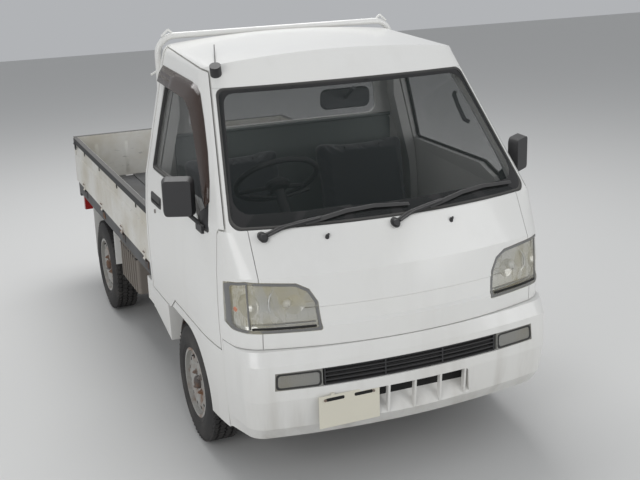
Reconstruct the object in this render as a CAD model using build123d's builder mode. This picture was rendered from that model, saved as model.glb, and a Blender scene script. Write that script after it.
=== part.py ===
from build123d import *
import math
import os

# A small forward-control pickup truck: cab over the front wheels, drop-side bed behind.
# Millimetres. +Z is up, the front faces -Y, +X is the vehicle's left side, the ground is z = 0.

# Overall
LENGTH = 3395.0
WIDTH = 1475.0
HEIGHT = 1780.0
WHEELBASE = 1900.0
TRACK = 1305.0
FRONT_AXLE_Y = -928.0
NOSE_Y = -LENGTH / 2
TAIL_Y = LENGTH / 2
HALF_W = WIDTH / 2
REAR_AXLE_Y = FRONT_AXLE_Y + WHEELBASE
WHEEL_X = TRACK / 2

# Wheels
TYRE_R = 271.0
TYRE_W = 147.0
TREAD_W = 112.0
BEAD_R = 152.0
RIM_R = 166.0
RIM_W = 128.0
DISC_OFFSET = 40.0
DISC_T = 5.0
HUB_BORE_R = 30.0
HUB_R = 62.0
HUB_GAP = 0.5

# Front struts, which turn about a line through (508, 640) and (612, 175), as (x, z)
STRUT_R = 22.0
SPRING_R = 40.0

# Cab
CAB_REAR_Y = -296.0
REAR_WALL_T = 22.0
PANEL_T = 38.0
SHUT_GAP = 7.0
REAR_GAP = 12.0
SEAM = 3.0
ROOF_SEAM = 1.0
CROWN_Z = 1722.0
CROWN_Y = -800.0
CROWN_R = 5200.0
CROWN_PITCH = 2.2
SHOULDER_X = 552.0
SHOULDER_FOOT = (596.0, -70.0)
BROW_R = 280.0
BUMPER_TOP_Z = 655.0
BELT_Z = 1105.0
SCREEN_TOP_Z = 1600.0
SKIRT_Z = 266.0
FLARE_Z = 608.0
DOOR_SILL_Z = 545.0
DOOR_REAR_Y = CAB_REAR_Y - REAR_WALL_T - REAR_GAP
DOOR_FRONT_Y = -1380.0
DOOR_TOP_Z = 1697.0
GLASS_T = 5.0

# Plan sections of the cab, lowest first; the crease across the nose is between the lamps
# height, half width, y where the side starts to turn, corner x, corner y, nose y, corner radius
CAB_SECTIONS = (
    (240.0, 726.0, -1150.0, 676.0, -1536.0, -1672.0, 140.0),
    (735.0, 737.0, -1150.0, 686.0, -1556.0, -1686.0, 150.0),
    (748.0, 737.5, -1150.0, 686.0, -1552.0, -1674.0, 150.0),
    (811.0, 737.5, -1150.0, 686.0, -1550.0, -1664.0, 150.0),
    (816.0, 737.5, -1150.0, 686.0, -1550.0, -1669.0, 150.0),
    (940.0, 735.0, -1150.0, 686.0, -1538.0, -1647.0, 145.0),
    (BELT_Z, 722.0, -1160.0, 698.0, -1436.0, -1562.0, 70.0),
    (1760.0, 578.0, -700.0, 548.0, -905.0, -918.0, 45.0),
)
INNER_SECTIONS = tuple(CAB_SECTIONS[i] for i in (0, 4, 5, 6, 7))
SCREEN_RISE = (CAB_SECTIONS[-1][0] - BELT_Z) / (CAB_SECTIONS[-1][5] - CAB_SECTIONS[-2][5])

# Bed
BED_FRONT_Y = -275.0
HEADBOARD_T = 25.0
GATE_T = 26.0
GATE_BOTTOM_Z = 648.0
GATE_TOP_Z = 937.0
GATE_GAP = 7.0
GATE_HINGE_Z = 641.0
FLOOR_TOP_Z = 652.0
FLOOR_T = 10.0
BED_SILL_Z = 570.0
BED_HALF_IN = 703.0
HINGE_R = 6.5

# Frame
RAIL_X = 300.0
RAIL_W = 50.0
RAIL_H = 80.0
RAIL_FRONT_Z = 400.0
RAIL_REAR_Z = BED_SILL_Z - RAIL_H

# Beyond the truck's sides and its nose, for blocks that cut
WIDE = 900.0
AHEAD = -1800.0

os.makedirs("parts", exist_ok=True)


def keep(piece, name):
    piece.part.label = name
    export_step(piece.part, f"parts/{name}.step")


def prism(plane, points, depth, radius=0.0):
    with BuildPart() as body:
        with BuildSketch(plane):
            with BuildLine():
                if radius > 0:
                    FilletPolyline(*points, radius=radius, close=True)
                else:
                    Polyline(*points, close=True)
            make_face()
        extrude(amount=depth)
    return body.part


def side_prism(points, x_from, x_to, radius=0.0):
    # points are (y, z)
    return prism(Plane.YZ.offset(x_from), points, x_to - x_from, radius)


def front_prism(points, y_from, y_to, radius=0.0):
    # points are (x, z); the sketch stands at y_to and grows towards the nose
    return prism(Plane.XZ.offset(-y_to), points, y_to - y_from, radius)


def slab(x0, x1, y0, y1, z0, z1):
    with BuildPart() as body:
        with Locations(((x0 + x1) / 2, (y0 + y1) / 2, (z0 + z1) / 2)):
            Box(x1 - x0, y1 - y0, z1 - z0)
    return body.part


def side_slab(side, x0, x1, y0, y1, z0, z1):
    # a block on one side of the truck, its x measured outwards
    return slab(*sorted((side * x0, side * x1)), y0, y1, z0, z1)


def cylinder(start, end, radius):
    axis = Vector(*end) - Vector(*start)
    with BuildPart() as body:
        with BuildSketch(Plane(origin=start, z_dir=axis)):
            Circle(radius)
        extrude(amount=axis.length)
    return body.part


def box(cx, cy, cz, dx, dy, dz):
    return slab(cx - dx / 2, cx + dx / 2, cy - dy / 2, cy + dy / 2, cz - dz / 2, cz + dz / 2)


def roof_limit(inset):
    # below the roof's crown, which falls to the front and is rounded at its shoulders
    pitch = math.radians(CROWN_PITCH)
    ahead = Vector(0, -math.cos(pitch), -math.sin(pitch))
    start = Vector(0, CROWN_Y, CROWN_Z - inset) - ahead * 1300
    shoulder = SHOULDER_X - inset
    sag = shoulder**2 / (2 * CROWN_R)
    foot_x = SHOULDER_FOOT[0] - inset
    foot_z = SHOULDER_FOOT[1]
    with BuildPart() as limit:
        with BuildSketch(Plane(origin=start, x_dir=(1, 0, 0), z_dir=ahead)):
            with BuildLine():
                top = ThreePointArc((-shoulder, -sag), (0, 0), (shoulder, -sag))
                TangentArc((shoulder, -sag), (foot_x, foot_z), tangent=top % 1)
                TangentArc((-shoulder, -sag), (-foot_x, foot_z), tangent=(top % 0) * -1)
                Polyline((-foot_x, foot_z), (-foot_x - 360, -1560), (foot_x + 360, -1560), (foot_x, foot_z))
            make_face()
        extrude(amount=2600)
    return limit.part


def brow_limit(inset):
    # behind the screen's slope and below the crown, with a large round between them
    fall = math.tan(math.radians(CROWN_PITCH))
    crown_z = CROWN_Z - inset + 1
    screen_y = CAB_SECTIONS[-2][5] - 1.5 + inset * math.hypot(1, SCREEN_RISE) / SCREEN_RISE
    apex_y = (crown_z - fall * CROWN_Y - BELT_Z + SCREEN_RISE * screen_y) / (SCREEN_RISE - fall)
    apex_z = BELT_Z + SCREEN_RISE * (apex_y - screen_y)
    points = (
        (400, crown_z + fall * (400 - CROWN_Y)), (apex_y, apex_z), (apex_y - 900, apex_z - 900 * SCREEN_RISE),
        (-2600, -200), (400, -200),
    )
    with BuildPart() as limit:
        with BuildSketch(Plane.YZ.offset(-900)) as profile:
            with BuildLine():
                Polyline(*points, close=True)
            make_face()
            fillet(profile.vertices().sort_by_distance((-900, apex_y, apex_z))[0], BROW_R)
        extrude(amount=1800)
    return limit.part


def cab_form(inset, rear_y=CAB_REAR_Y, sections=CAB_SECTIONS):
    # the cab's outer form, drawn in by inset all round except at the rear
    with BuildPart() as form:
        for z, half, turn_y, corner_x, corner_y, nose_y, radius in sections:
            side = half - inset
            cx = corner_x - inset
            cy = corner_y + inset
            with BuildSketch(Plane.XY.offset(z)) as section:
                with BuildLine():
                    Line((-side, rear_y), (side, rear_y))
                    Line((side, rear_y), (side, turn_y))
                    TangentArc((side, turn_y), (cx, cy), tangent=(0, -1))
                    ThreePointArc((cx, cy), (0, nose_y + inset), (-cx, cy))
                    TangentArc((-side, turn_y), (-cx, cy), tangent=(0, -1))
                    Line((-side, turn_y), (-side, rear_y))
                make_face()
                corners = section.vertices().sort_by(Axis.Y)[:2]
                fillet(corners, radius - inset * 0.5)
        loft(ruled=True)
        add(roof_limit(inset), mode=Mode.INTERSECT)
        add(brow_limit(inset), mode=Mode.INTERSECT)
    return form.part


def inner_form(inset, rear_y=CAB_REAR_Y + 100):
    # the hidden inside of the panels, without the nose's creases
    return cab_form(inset, rear_y, INNER_SECTIONS)


outer = cab_form(0)
PILLAR_IN = PANEL_T + 5.0
PILLAR_T = 40.0
cab_shell = outer - inner_form(PANEL_T)
pillar_shell = inner_form(PILLAR_IN, CAB_REAR_Y) - inner_form(PILLAR_IN + PILLAR_T)
WALL_FRONT_Y = CAB_REAR_Y - REAR_WALL_T

# Outlines seen from the side, as (y, z)
ARCH_R = 295.0
ARCH_Z = 265.0
ARCH_REAR_Y = -600.0
ARCH_TOP_Z = ARCH_Z + ARCH_R
ARCH_CORNER = 110.0
SILL_FRONT_Z = 358.0
SILL_REAR_Z = 430.0
DOOR_TOP_FRONT = (-925.0, 1661.0)
DOOR_TOP_REAR_Y = DOOR_REAR_Y - 6.0
ROOF_SEAM_X = 560.0
APERTURE = (
    (CAB_REAR_Y - REAR_WALL_T, DOOR_SILL_Z - SHUT_GAP),
    (-655.0, DOOR_SILL_Z - SHUT_GAP),
    (-745.0, FLARE_Z - SHUT_GAP),
    (DOOR_FRONT_Y - SHUT_GAP, FLARE_Z - SHUT_GAP),
    (DOOR_FRONT_Y - SHUT_GAP, BELT_Z - 17.0),
    (DOOR_FRONT_Y - 20.0, BELT_Z + 1.0),
    (-1482.0, BELT_Z + 1.0),
    (-1010.0, 1664.0),
    (DOOR_TOP_FRONT[0] - 20.0, DOOR_TOP_FRONT[1] + SHUT_GAP - 1.5),
    (DOOR_TOP_FRONT[0], DOOR_TOP_FRONT[1] + SHUT_GAP),
    (CAB_REAR_Y - REAR_WALL_T, DOOR_TOP_Z + SHUT_GAP),
)
DOOR_OUTLINE = (
    (DOOR_REAR_Y, BELT_Z),
    (DOOR_REAR_Y, DOOR_SILL_Z),
    (-648.0, DOOR_SILL_Z),
    (-738.0, FLARE_Z),
    (DOOR_FRONT_Y, FLARE_Z),
    (DOOR_FRONT_Y, BELT_Z - 12.0),
    (DOOR_FRONT_Y - 14.0, BELT_Z + 8.0),
    (-1475.0, BELT_Z + 8.0),
    (-1003.0, 1652.0),
    (DOOR_TOP_FRONT[0] - 18.0, DOOR_TOP_FRONT[1] - 2.0),
    DOOR_TOP_FRONT,
    (DOOR_TOP_REAR_Y, DOOR_TOP_Z),
)
WINDOW = (
    (-398.0, 1152.0),
    (-1060.0, 1150.0),
    (-1165.0, 1106.0),
    (-1200.0, 1072.0),
    (-1318.0, 1072.0),
    (-1240.0, 1222.0),
    (-1125.0, 1370.0),
    (-930.0, 1582.0),
    (-405.0, 1602.0),
)

ARCH_FRONT = (FRONT_AXLE_Y - ARCH_R, ARCH_Z)
ARCH_TOP_FRONT = (FRONT_AXLE_Y, ARCH_TOP_Z)
ARCH_TOP_REAR = (ARCH_REAR_Y - ARCH_CORNER, ARCH_TOP_Z)
ARCH_REAR = (ARCH_REAR_Y, ARCH_TOP_Z - ARCH_CORNER)
with BuildPart() as arch_cut:
    with BuildSketch(Plane.YZ.offset(-WIDE)):
        with BuildLine():
            TangentArc(ARCH_FRONT, ARCH_TOP_FRONT, tangent=(0, 1))
            Line(ARCH_TOP_FRONT, ARCH_TOP_REAR)
            TangentArc(ARCH_TOP_REAR, ARCH_REAR, tangent=(1, 0))
            Polyline(ARCH_REAR, (ARCH_REAR_Y, 150), (FRONT_AXLE_Y - ARCH_R, 150), ARCH_FRONT)
        make_face()
    extrude(amount=2 * WIDE)

SCREEN_FOOT_X = 672.0
SCREEN_HEAD_X = 572.0
SCREEN_FOOT_Z = BELT_Z + 4.0
SCREEN = (
    (-SCREEN_FOOT_X, SCREEN_FOOT_Z), (SCREEN_FOOT_X, SCREEN_FOOT_Z), (SCREEN_HEAD_X, SCREEN_TOP_Z),
    (-SCREEN_HEAD_X, SCREEN_TOP_Z),
)
NOSE_HALF = 608.0
WING_FRONT_Y = -1400.0
HEADLAMP = (
    (716.0, 905.0), (700.0, 922.0), (655.0, 931.0), (466.0, 914.0), (418.0, 888.0), (388.0, 836.0),
    (377.0, 721.0), (660.0, 723.0), (700.0, 728.0), (716.0, 752.0),
)


def across(points):
    return tuple((-x, z) for x, z in points)


screen_cut = front_prism(SCREEN, AHEAD, -850, radius=34)
PILLAR_FACE = 17.0


def between_pillars(face, foot_z, depth):
    # between the two screen pillars, out to face beyond the glass, above foot_z and no more than
    # depth behind the corners' line, which leans back with the pillars
    slope = (SCREEN_FOOT_X - SCREEN_HEAD_X) / (SCREEN_TOP_Z - SCREEN_FOOT_Z)
    foot = SCREEN_FOOT_X + face + slope * (SCREEN_FOOT_Z - foot_z)
    head_z = SCREEN_TOP_Z + 160
    head = SCREEN_HEAD_X + face - slope * 160
    lean = (CAB_SECTIONS[-1][4] - CAB_SECTIONS[-2][4]) / (CAB_SECTIONS[-1][0] - BELT_Z)
    foot_y = CAB_SECTIONS[-2][4] + lean * (foot_z - BELT_Z) + depth
    head_y = CAB_SECTIONS[-2][4] + lean * (head_z - BELT_Z) + depth
    side_view = ((-1800, foot_z), (foot_y, foot_z), (head_y, head_z), (-1800, head_z))
    front_view = ((-foot, foot_z), (foot, foot_z), (head, head_z), (-head, head_z))
    return front_prism(front_view, AHEAD, -800) & side_prism(side_view, -WIDE, WIDE)


PILLAR_X = SCREEN_FOOT_X + PILLAR_FACE - SHUT_GAP
PILLAR_DEPTH = 60.0
pillar_strip = between_pillars(PILLAR_FACE - SHUT_GAP, SCREEN_FOOT_Z, PILLAR_DEPTH)
pillar_foot = slab(-PILLAR_X, PILLAR_X, AHEAD, DOOR_FRONT_Y - 20, BELT_Z - 20, SCREEN_FOOT_Z + 2)
roof_core = slab(-ROOF_SEAM_X, ROOF_SEAM_X, AHEAD, 0, SCREEN_TOP_Z, 1900)
aperture_cut = side_prism(APERTURE, -WIDE, WIDE) - pillar_strip - pillar_foot - roof_core
LAMP_REAR_Y = DOOR_FRONT_Y - 52.0
lamp_cuts = [front_prism(p, AHEAD, LAMP_REAR_Y, radius=9) for p in (HEADLAMP, across(HEADLAMP))]

# Front corners: pillar beside the screen, corner panel and wing with the front of the wheel arch
with BuildPart() as front_corners:
    add(cab_shell)
    add(slab(-WIDE, WIDE, AHEAD, ARCH_REAR_Y - 88, SKIRT_Z, SCREEN_TOP_Z), mode=Mode.INTERSECT)
    add(slab(-NOSE_HALF, NOSE_HALF, AHEAD, -1400, 0, SCREEN_FOOT_Z), mode=Mode.SUBTRACT)
    add(slab(-WIDE, WIDE, AHEAD, WING_FRONT_Y, 0, BUMPER_TOP_Z + SEAM), mode=Mode.SUBTRACT)
    add(screen_cut, mode=Mode.SUBTRACT)
    add(aperture_cut, mode=Mode.SUBTRACT)
    add(arch_cut.part, mode=Mode.SUBTRACT)
    for cut in lamp_cuts:
        add(cut, mode=Mode.SUBTRACT)
keep(front_corners, "front_corners")

with BuildPart() as front_panel:
    add(cab_shell)
    seam_x = NOSE_HALF - SEAM
    add(slab(-seam_x, seam_x, AHEAD, -1400, BUMPER_TOP_Z + SEAM, SCREEN_FOOT_Z), mode=Mode.INTERSECT)
    for cut in lamp_cuts:
        add(cut, mode=Mode.SUBTRACT)
keep(front_panel, "front_panel")

with BuildPart() as roof_panel:
    add(cab_shell)
    add(slab(-WIDE, WIDE, AHEAD, CAB_REAR_Y, SCREEN_TOP_Z + ROOF_SEAM, 1900), mode=Mode.INTERSECT)
    add(aperture_cut, mode=Mode.SUBTRACT)
    add(slab(-WIDE, WIDE, WALL_FRONT_Y, CAB_REAR_Y + 1, 0, DOOR_TOP_Z + SHUT_GAP), mode=Mode.SUBTRACT)
keep(roof_panel, "roof_panel")

REAR_WINDOW = ((-500.0, 1292.0), (500.0, 1292.0), (478.0, 1560.0), (-478.0, 1560.0))
rear_window_cut = front_prism(REAR_WINDOW, -400, -200, radius=45)
with BuildPart() as rear_wall:
    add(outer)
    add(slab(-WIDE, WIDE, WALL_FRONT_Y, CAB_REAR_Y, SILL_REAR_Z, DOOR_TOP_Z + SHUT_GAP), mode=Mode.INTERSECT)
    add(rear_window_cut, mode=Mode.SUBTRACT)
    add(slab(-640, 640, -400, 0, 0, 600), mode=Mode.SUBTRACT)
keep(rear_wall, "rear_wall")

with BuildPart() as rear_window:
    add(rear_window_cut)
    add(slab(-WIDE, WIDE, WALL_FRONT_Y + 9, WALL_FRONT_Y + 9 + GLASS_T, 0, 1900), mode=Mode.INTERSECT)
keep(rear_window, "rear_window")

# Sills with the inner rear pillars behind the doors
FOOT_REAR_Y = -190.0
SILL = (
    (WALL_FRONT_Y, SILL_REAR_Z), (ARCH_REAR_Y, SILL_FRONT_Z), (ARCH_REAR_Y, DOOR_SILL_Z - SHUT_GAP),
    (WALL_FRONT_Y, DOOR_SILL_Z - SHUT_GAP),
)
sill_shell = outer - inner_form(PILLAR_IN + PILLAR_T)
with BuildPart() as sills:
    add(sill_shell)
    add(side_prism(SILL, -WIDE, WIDE), mode=Mode.INTERSECT)
    for side in (-1, 1):
        pillar_zone = side_slab(side, 560, 900, WALL_FRONT_Y - 82, WALL_FRONT_Y, SILL_REAR_Z, DOOR_TOP_Z - 10)
        add(pillar_shell & pillar_zone)
        add(side_slab(side, 698, 731, CAB_REAR_Y, FOOT_REAR_Y, SILL_REAR_Z + 10, BED_SILL_Z - 12))
keep(sills, "sills")

with BuildPart() as windscreen:
    add(cab_form(3) - cab_form(3 + GLASS_T))
    add(screen_cut, mode=Mode.INTERSECT)
keep(windscreen, "windscreen")

# Cab floor: toe board, footwell floor, seat step and seat platform
FOOT_Z = 500.0
SEAT_Z = 600.0
PAN_T = 15.0
STEP_Y = -1245.0
cabin = inner_form(PILLAR_IN + PILLAR_T + 2, WALL_FRONT_Y)
PAN = (
    (-1590.0, 760.0), (-1510.0, FOOT_Z), (STEP_Y - PAN_T, FOOT_Z), (STEP_Y - PAN_T, SEAT_Z + PAN_T),
    (WALL_FRONT_Y, SEAT_Z + PAN_T), (WALL_FRONT_Y, SEAT_Z), (STEP_Y, SEAT_Z), (STEP_Y, FOOT_Z - PAN_T),
    (-1521.0, FOOT_Z - PAN_T), (-1605.0, 760.0),
)
with BuildPart() as cab_floor:
    add(cabin)
    add(side_prism(PAN, -700, 700), mode=Mode.INTERSECT)
keep(cab_floor, "cab_floor")

# Wheel houses over the front wheels
LINER_R = 315.0
LINER_T = 8.0
LINER_IN_X = 405.0
with BuildPart() as wheelhouses:
    for side in (-1, 1):
        start = side * (LINER_IN_X - LINER_T)
        with BuildSketch(Plane.YZ.offset(start)):
            with Locations((FRONT_AXLE_Y, ARCH_Z)):
                Circle(LINER_R + LINER_T)
        extrude(amount=side * (696 - LINER_IN_X + LINER_T))
        with BuildSketch(Plane.YZ.offset(start + side * LINER_T)):
            with Locations((FRONT_AXLE_Y, ARCH_Z)):
                Circle(LINER_R)
        extrude(amount=side * 400, mode=Mode.SUBTRACT)
    add(slab(-WIDE, WIDE, AHEAD, 0, -100, ARCH_Z + 60), mode=Mode.SUBTRACT)
    add(inner_form(PANEL_T), mode=Mode.INTERSECT)
keep(wheelhouses, "wheelhouses")

# Doors
window_cut = side_prism(WINDOW, -WIDE, WIDE, radius=16)
door_cut = side_prism(DOOR_OUTLINE, -WIDE, WIDE)
pillar_cut = between_pillars(PILLAR_FACE, SCREEN_FOOT_Z - SHUT_GAP, PILLAR_DEPTH + SHUT_GAP + 3)
glass_shell = cab_form(15) - cab_form(15 + GLASS_T)
for side, name in ((-1, "right"), (1, "left")):
    half = side_slab(side, 300, 900, AHEAD, 0, 0, 1900)
    door_in_x = ROOF_SEAM_X + SHUT_GAP
    half = half - slab(-door_in_x, door_in_x, AHEAD, 0, SCREEN_TOP_Z - SHUT_GAP, 1900)
    with BuildPart() as door:
        add(cab_shell)
        add(half, mode=Mode.INTERSECT)
        add(door_cut, mode=Mode.INTERSECT)
        add(arch_cut.part, mode=Mode.SUBTRACT)
        add(pillar_cut, mode=Mode.SUBTRACT)
        add(window_cut, mode=Mode.SUBTRACT)
    keep(door, f"door_{name}")
    with BuildPart() as door_glass:
        add(glass_shell)
        add(half, mode=Mode.INTERSECT)
        add(window_cut, mode=Mode.INTERSECT)
    keep(door_glass, f"door_glass_{name}")

# Mirrors on the doors, at the window's dropped front corner, each turned towards the driver
MIRROR_X = 790.0
MIRROR_Y = -1157.0
MIRROR_Z = 1200.0
MIRROR_W = 134.0
MIRROR_H = 168.0
MIRROR_T = 44.0
MIRROR_EDGE_R = 26.0
MIRROR_FOOT_Y = -1215.0
MIRROR_FOOT_Z = 1076.0
MIRROR_ARM_R = 9.0
for side, name, yaw_degrees in ((-1, "right", 24.0), (1, "left", 35.0)):
    yaw = math.radians(yaw_degrees)
    ahead = (side * math.sin(yaw), -math.cos(yaw), 0)
    across_glass = (math.cos(yaw), side * math.sin(yaw), 0)
    arm = cylinder(
        (side * 712, MIRROR_FOOT_Y, MIRROR_FOOT_Z),
        (side * (MIRROR_X - 20), MIRROR_Y - 24, MIRROR_Z - MIRROR_H / 2 + 22), MIRROR_ARM_R)
    foot_y = (MIRROR_FOOT_Y - 42, MIRROR_FOOT_Y + 42)
    foot = side_slab(side, 690, 733, *foot_y, MIRROR_FOOT_Z - 16, MIRROR_FOOT_Z + 16)
    with BuildPart() as mirror:
        face = Plane(origin=(side * MIRROR_X, MIRROR_Y, MIRROR_Z), x_dir=across_glass, z_dir=ahead)
        with BuildSketch(face):
            RectangleRounded(MIRROR_W, MIRROR_H, MIRROR_EDGE_R)
        extrude(amount=MIRROR_T, taper=14)
        add(arm)
        add(foot)
        add(outer, mode=Mode.SUBTRACT)
    keep(mirror, f"mirror_{name}")

# Front bumper: wraps round the nose from wing to wing
# height, half width at its rear end, corner x, corner y, nose y, corner radius
BUMPER_SECTIONS = (
    (275.0, 702.0, 655.0, -1575.0, -1652.0, 80.0),
    (330.0, 708.0, 674.0, -1608.0, -1688.0, 90.0),
    (455.0, 714.0, 684.0, -1628.0, NOSE_Y, 95.0),
    (600.0, 716.0, 686.0, -1618.0, NOSE_Y + 3, 95.0),
    (BUMPER_TOP_Z, 716.0, 684.0, -1585.0, -1687.0, 110.0),
)
BUMPER_T = 28.0
BUMPER_REAR_Y = WING_FRONT_Y - 6.0
BAND_LOW_Z = 496.0
BAND_TOP_Z = 570.0
GRILLE_HALF = 388.0
LAMP_INNER_X = 396.0
LAMP_OUTER_X = 588.0
INTAKE_HALF = 262.0
INTAKE_LOW_Z = 322.0
INTAKE_TOP_Z = 452.0
INTAKE_BAR_STEP = 118.0
INTAKE_BAR_W = 9.0
INTAKE_SHELF = ((-1694.0, 316.0), (-1640.0, 392.0), (-1622.0, 392.0), (-1674.0, 316.0))


def bumper_form(inset, rear_y=BUMPER_REAR_Y):
    with BuildPart() as form:
        for z, half, corner_x, corner_y, nose_y, radius in BUMPER_SECTIONS:
            cx = corner_x - inset
            cy = corner_y + inset
            with BuildSketch(Plane.XY.offset(z)) as section:
                with BuildLine():
                    Polyline((-cx, cy), (-(half - inset), rear_y), (half - inset, rear_y), (cx, cy))
                    ThreePointArc((cx, cy), (0, nose_y + inset), (-cx, cy))
                make_face()
                fillet(section.vertices().sort_by(Axis.Y)[:2], radius - inset * 0.5)
        loft(ruled=True)
    return form.part


bumper_outer = bumper_form(0)
band_cut = front_prism(
    ((-LAMP_OUTER_X, BAND_LOW_Z + 4), (-LAMP_INNER_X, BAND_LOW_Z), (LAMP_INNER_X, BAND_LOW_Z),
     (LAMP_OUTER_X, BAND_LOW_Z + 4), (LAMP_OUTER_X - 4, BAND_TOP_Z + 2), (-LAMP_OUTER_X + 4, BAND_TOP_Z + 2)),
    -1800, -1450)
intake_cut = front_prism(
    ((-INTAKE_HALF, INTAKE_LOW_Z), (INTAKE_HALF, INTAKE_LOW_Z), (INTAKE_HALF - 12, INTAKE_TOP_Z),
     (-INTAKE_HALF + 12, INTAKE_TOP_Z)), AHEAD, -1450, radius=16)
with BuildPart() as front_bumper:
    add(bumper_outer)
    add(bumper_form(BUMPER_T, rear_y=BUMPER_REAR_Y + 60), mode=Mode.SUBTRACT)
    add(band_cut, mode=Mode.SUBTRACT)
    add(intake_cut, mode=Mode.SUBTRACT)
    add(bumper_outer & side_prism(INTAKE_SHELF, -INTAKE_HALF - 6, INTAKE_HALF + 6))
    for index in range(-2, 3):
        x = index * INTAKE_BAR_STEP
        half = INTAKE_BAR_W / 2
        bar = slab(x - half, x + half, AHEAD, -1500, INTAKE_LOW_Z - 4, INTAKE_TOP_Z + 4)
        add((bumper_outer - bumper_form(BUMPER_T - 6, rear_y=BUMPER_REAR_Y + 60)) & bar)
keep(front_bumper, "front_bumper")

SLAT_COUNT = 5
SLAT_T = 5.0
grille_shell = bumper_form(7) - bumper_form(22, rear_y=BUMPER_REAR_Y + 60)
with BuildPart() as bumper_grille:
    step = (BAND_TOP_Z - BAND_LOW_Z) / (SLAT_COUNT - 1)
    for index in range(SLAT_COUNT):
        z = BAND_LOW_Z + 3 + index * (step - 1.5)
        add(grille_shell & slab(-GRILLE_HALF, GRILLE_HALF, AHEAD, -1500, z - SLAT_T / 2, z + SLAT_T / 2))
    for x in (-GRILLE_HALF + 3, -GRILLE_HALF / 3, GRILLE_HALF / 3, GRILLE_HALF - 3):
        add(grille_shell & slab(x - 3, x + 3, AHEAD, -1500, BAND_LOW_Z + 1, BAND_TOP_Z - 1))
keep(bumper_grille, "bumper_grille")

with BuildPart() as bumper_lamps:
    add(bumper_form(2) - bumper_form(BUMPER_T, rear_y=BUMPER_REAR_Y + 60))
    add(band_cut, mode=Mode.INTERSECT)
    add(slab(-LAMP_INNER_X, LAMP_INNER_X, AHEAD, -1400, 0, 1000), mode=Mode.SUBTRACT)
keep(bumper_lamps, "bumper_lamps")

# Headlamps: a clear outer lens over a housing with a round main bowl and a turn lamp bowl
LENS_T = 5.0
LAMP_DEPTH = 62.0
lamp_zone = lamp_cuts[0] + lamp_cuts[1]
with BuildPart() as headlamp_lenses:
    add(cab_form(1) - cab_form(1 + LENS_T))
    add(lamp_zone, mode=Mode.INTERSECT)
keep(headlamp_lenses, "headlamp_lenses")

with BuildPart() as headlamp_housings:
    add(cab_form(1 + LENS_T) - inner_form(LAMP_DEPTH))
    add(lamp_zone, mode=Mode.INTERSECT)
    for side in (-1, 1):
        with Locations((side * 500, -1688, 836)):
            Sphere(98, mode=Mode.SUBTRACT)
        with Locations((side * 668, -1570, 836)):
            Sphere(60, mode=Mode.SUBTRACT)
keep(headlamp_housings, "headlamp_housings")

# Number plates, blank, each on its flat bracket face
PLATE_W = 264.0
PLATE_H = 138.0
PLATE_T = 2.0
FRONT_PLATE = (-292.0, -1697.5, 390.0)

# Windscreen wipers, parked along the foot of the glass; arm and blade as (x, z) from the pivot
WIPER_PIVOTS = ((-559.0, 1087.0), (-25.0, 1091.0))
WIPER_KNOB_R = 18.0
WIPER_ARM = (
    (0.0, -6.0), (75.0, 20.0), (177.0, 35.0), (242.0, 43.0),
    (242.0, 54.0), (170.0, 47.0), (70.0, 32.0), (0.0, 8.0),
)
WIPER_BLADE = (
    (172.0, 29.0), (347.0, 57.0), (464.0, 63.0), (620.0, 55.0),
    (620.0, 64.0), (464.0, 74.0), (347.0, 68.0), (172.0, 42.0),
)
wiper_shell = cab_form(-12) - cab_form(-3)
knob_shell = cab_form(-14) - outer
with BuildPart() as wipers:
    for pivot_x, pivot_z in WIPER_PIVOTS:
        for outline in (WIPER_ARM, WIPER_BLADE):
            add(wiper_shell & front_prism([(pivot_x + x, pivot_z + z) for x, z in outline], AHEAD, -1300))
        add(knob_shell & cylinder((pivot_x, -1700, pivot_z), (pivot_x, -1300, pivot_z), WIPER_KNOB_R))
keep(wipers, "wipers")

# Bed: floor tray, cross sills, headboard, three drop gates on pinned hinges
GATE_AXIS_X = HALF_W - HINGE_R
GATE_AXIS_Y = TAIL_Y - HINGE_R
GATE_FACE_X = GATE_AXIS_X - 2.0
GATE_FACE_Y = GATE_AXIS_Y - 2.0
GATE_STEP = 8.0
STEP_Z = 826.0
TAIL_IN_Y = GATE_FACE_Y - GATE_T
SIDE_GATE_REAR_Y = TAIL_IN_Y - GATE_GAP
SIDE_HINGES = (-170.0, 350.0, 880.0, 1420.0)
TAIL_HINGES = (-480.0, 0.0, 480.0)
HINGE_PIN_R = 3.0
HINGE_LEAF_W = 34.0
HINGE_EAR = 14.0
HINGE_PLATE_T = 3.0
BED_SIDE_X = GATE_FACE_X - GATE_T + 18.0
TAIL_SILL_OUT = 16.0
SILL_STEP = 300.0
SILL_COUNT = 6
SILL_W = 46.0
SILL_X = 640.0
PAN_DROP = 6.0
RIB_COUNT = 4
RIB_STEP = 156.0
RIB_W = 104.0
RIB_FRONT_Y = BED_FRONT_Y + HEADBOARD_T + 4.0

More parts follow.
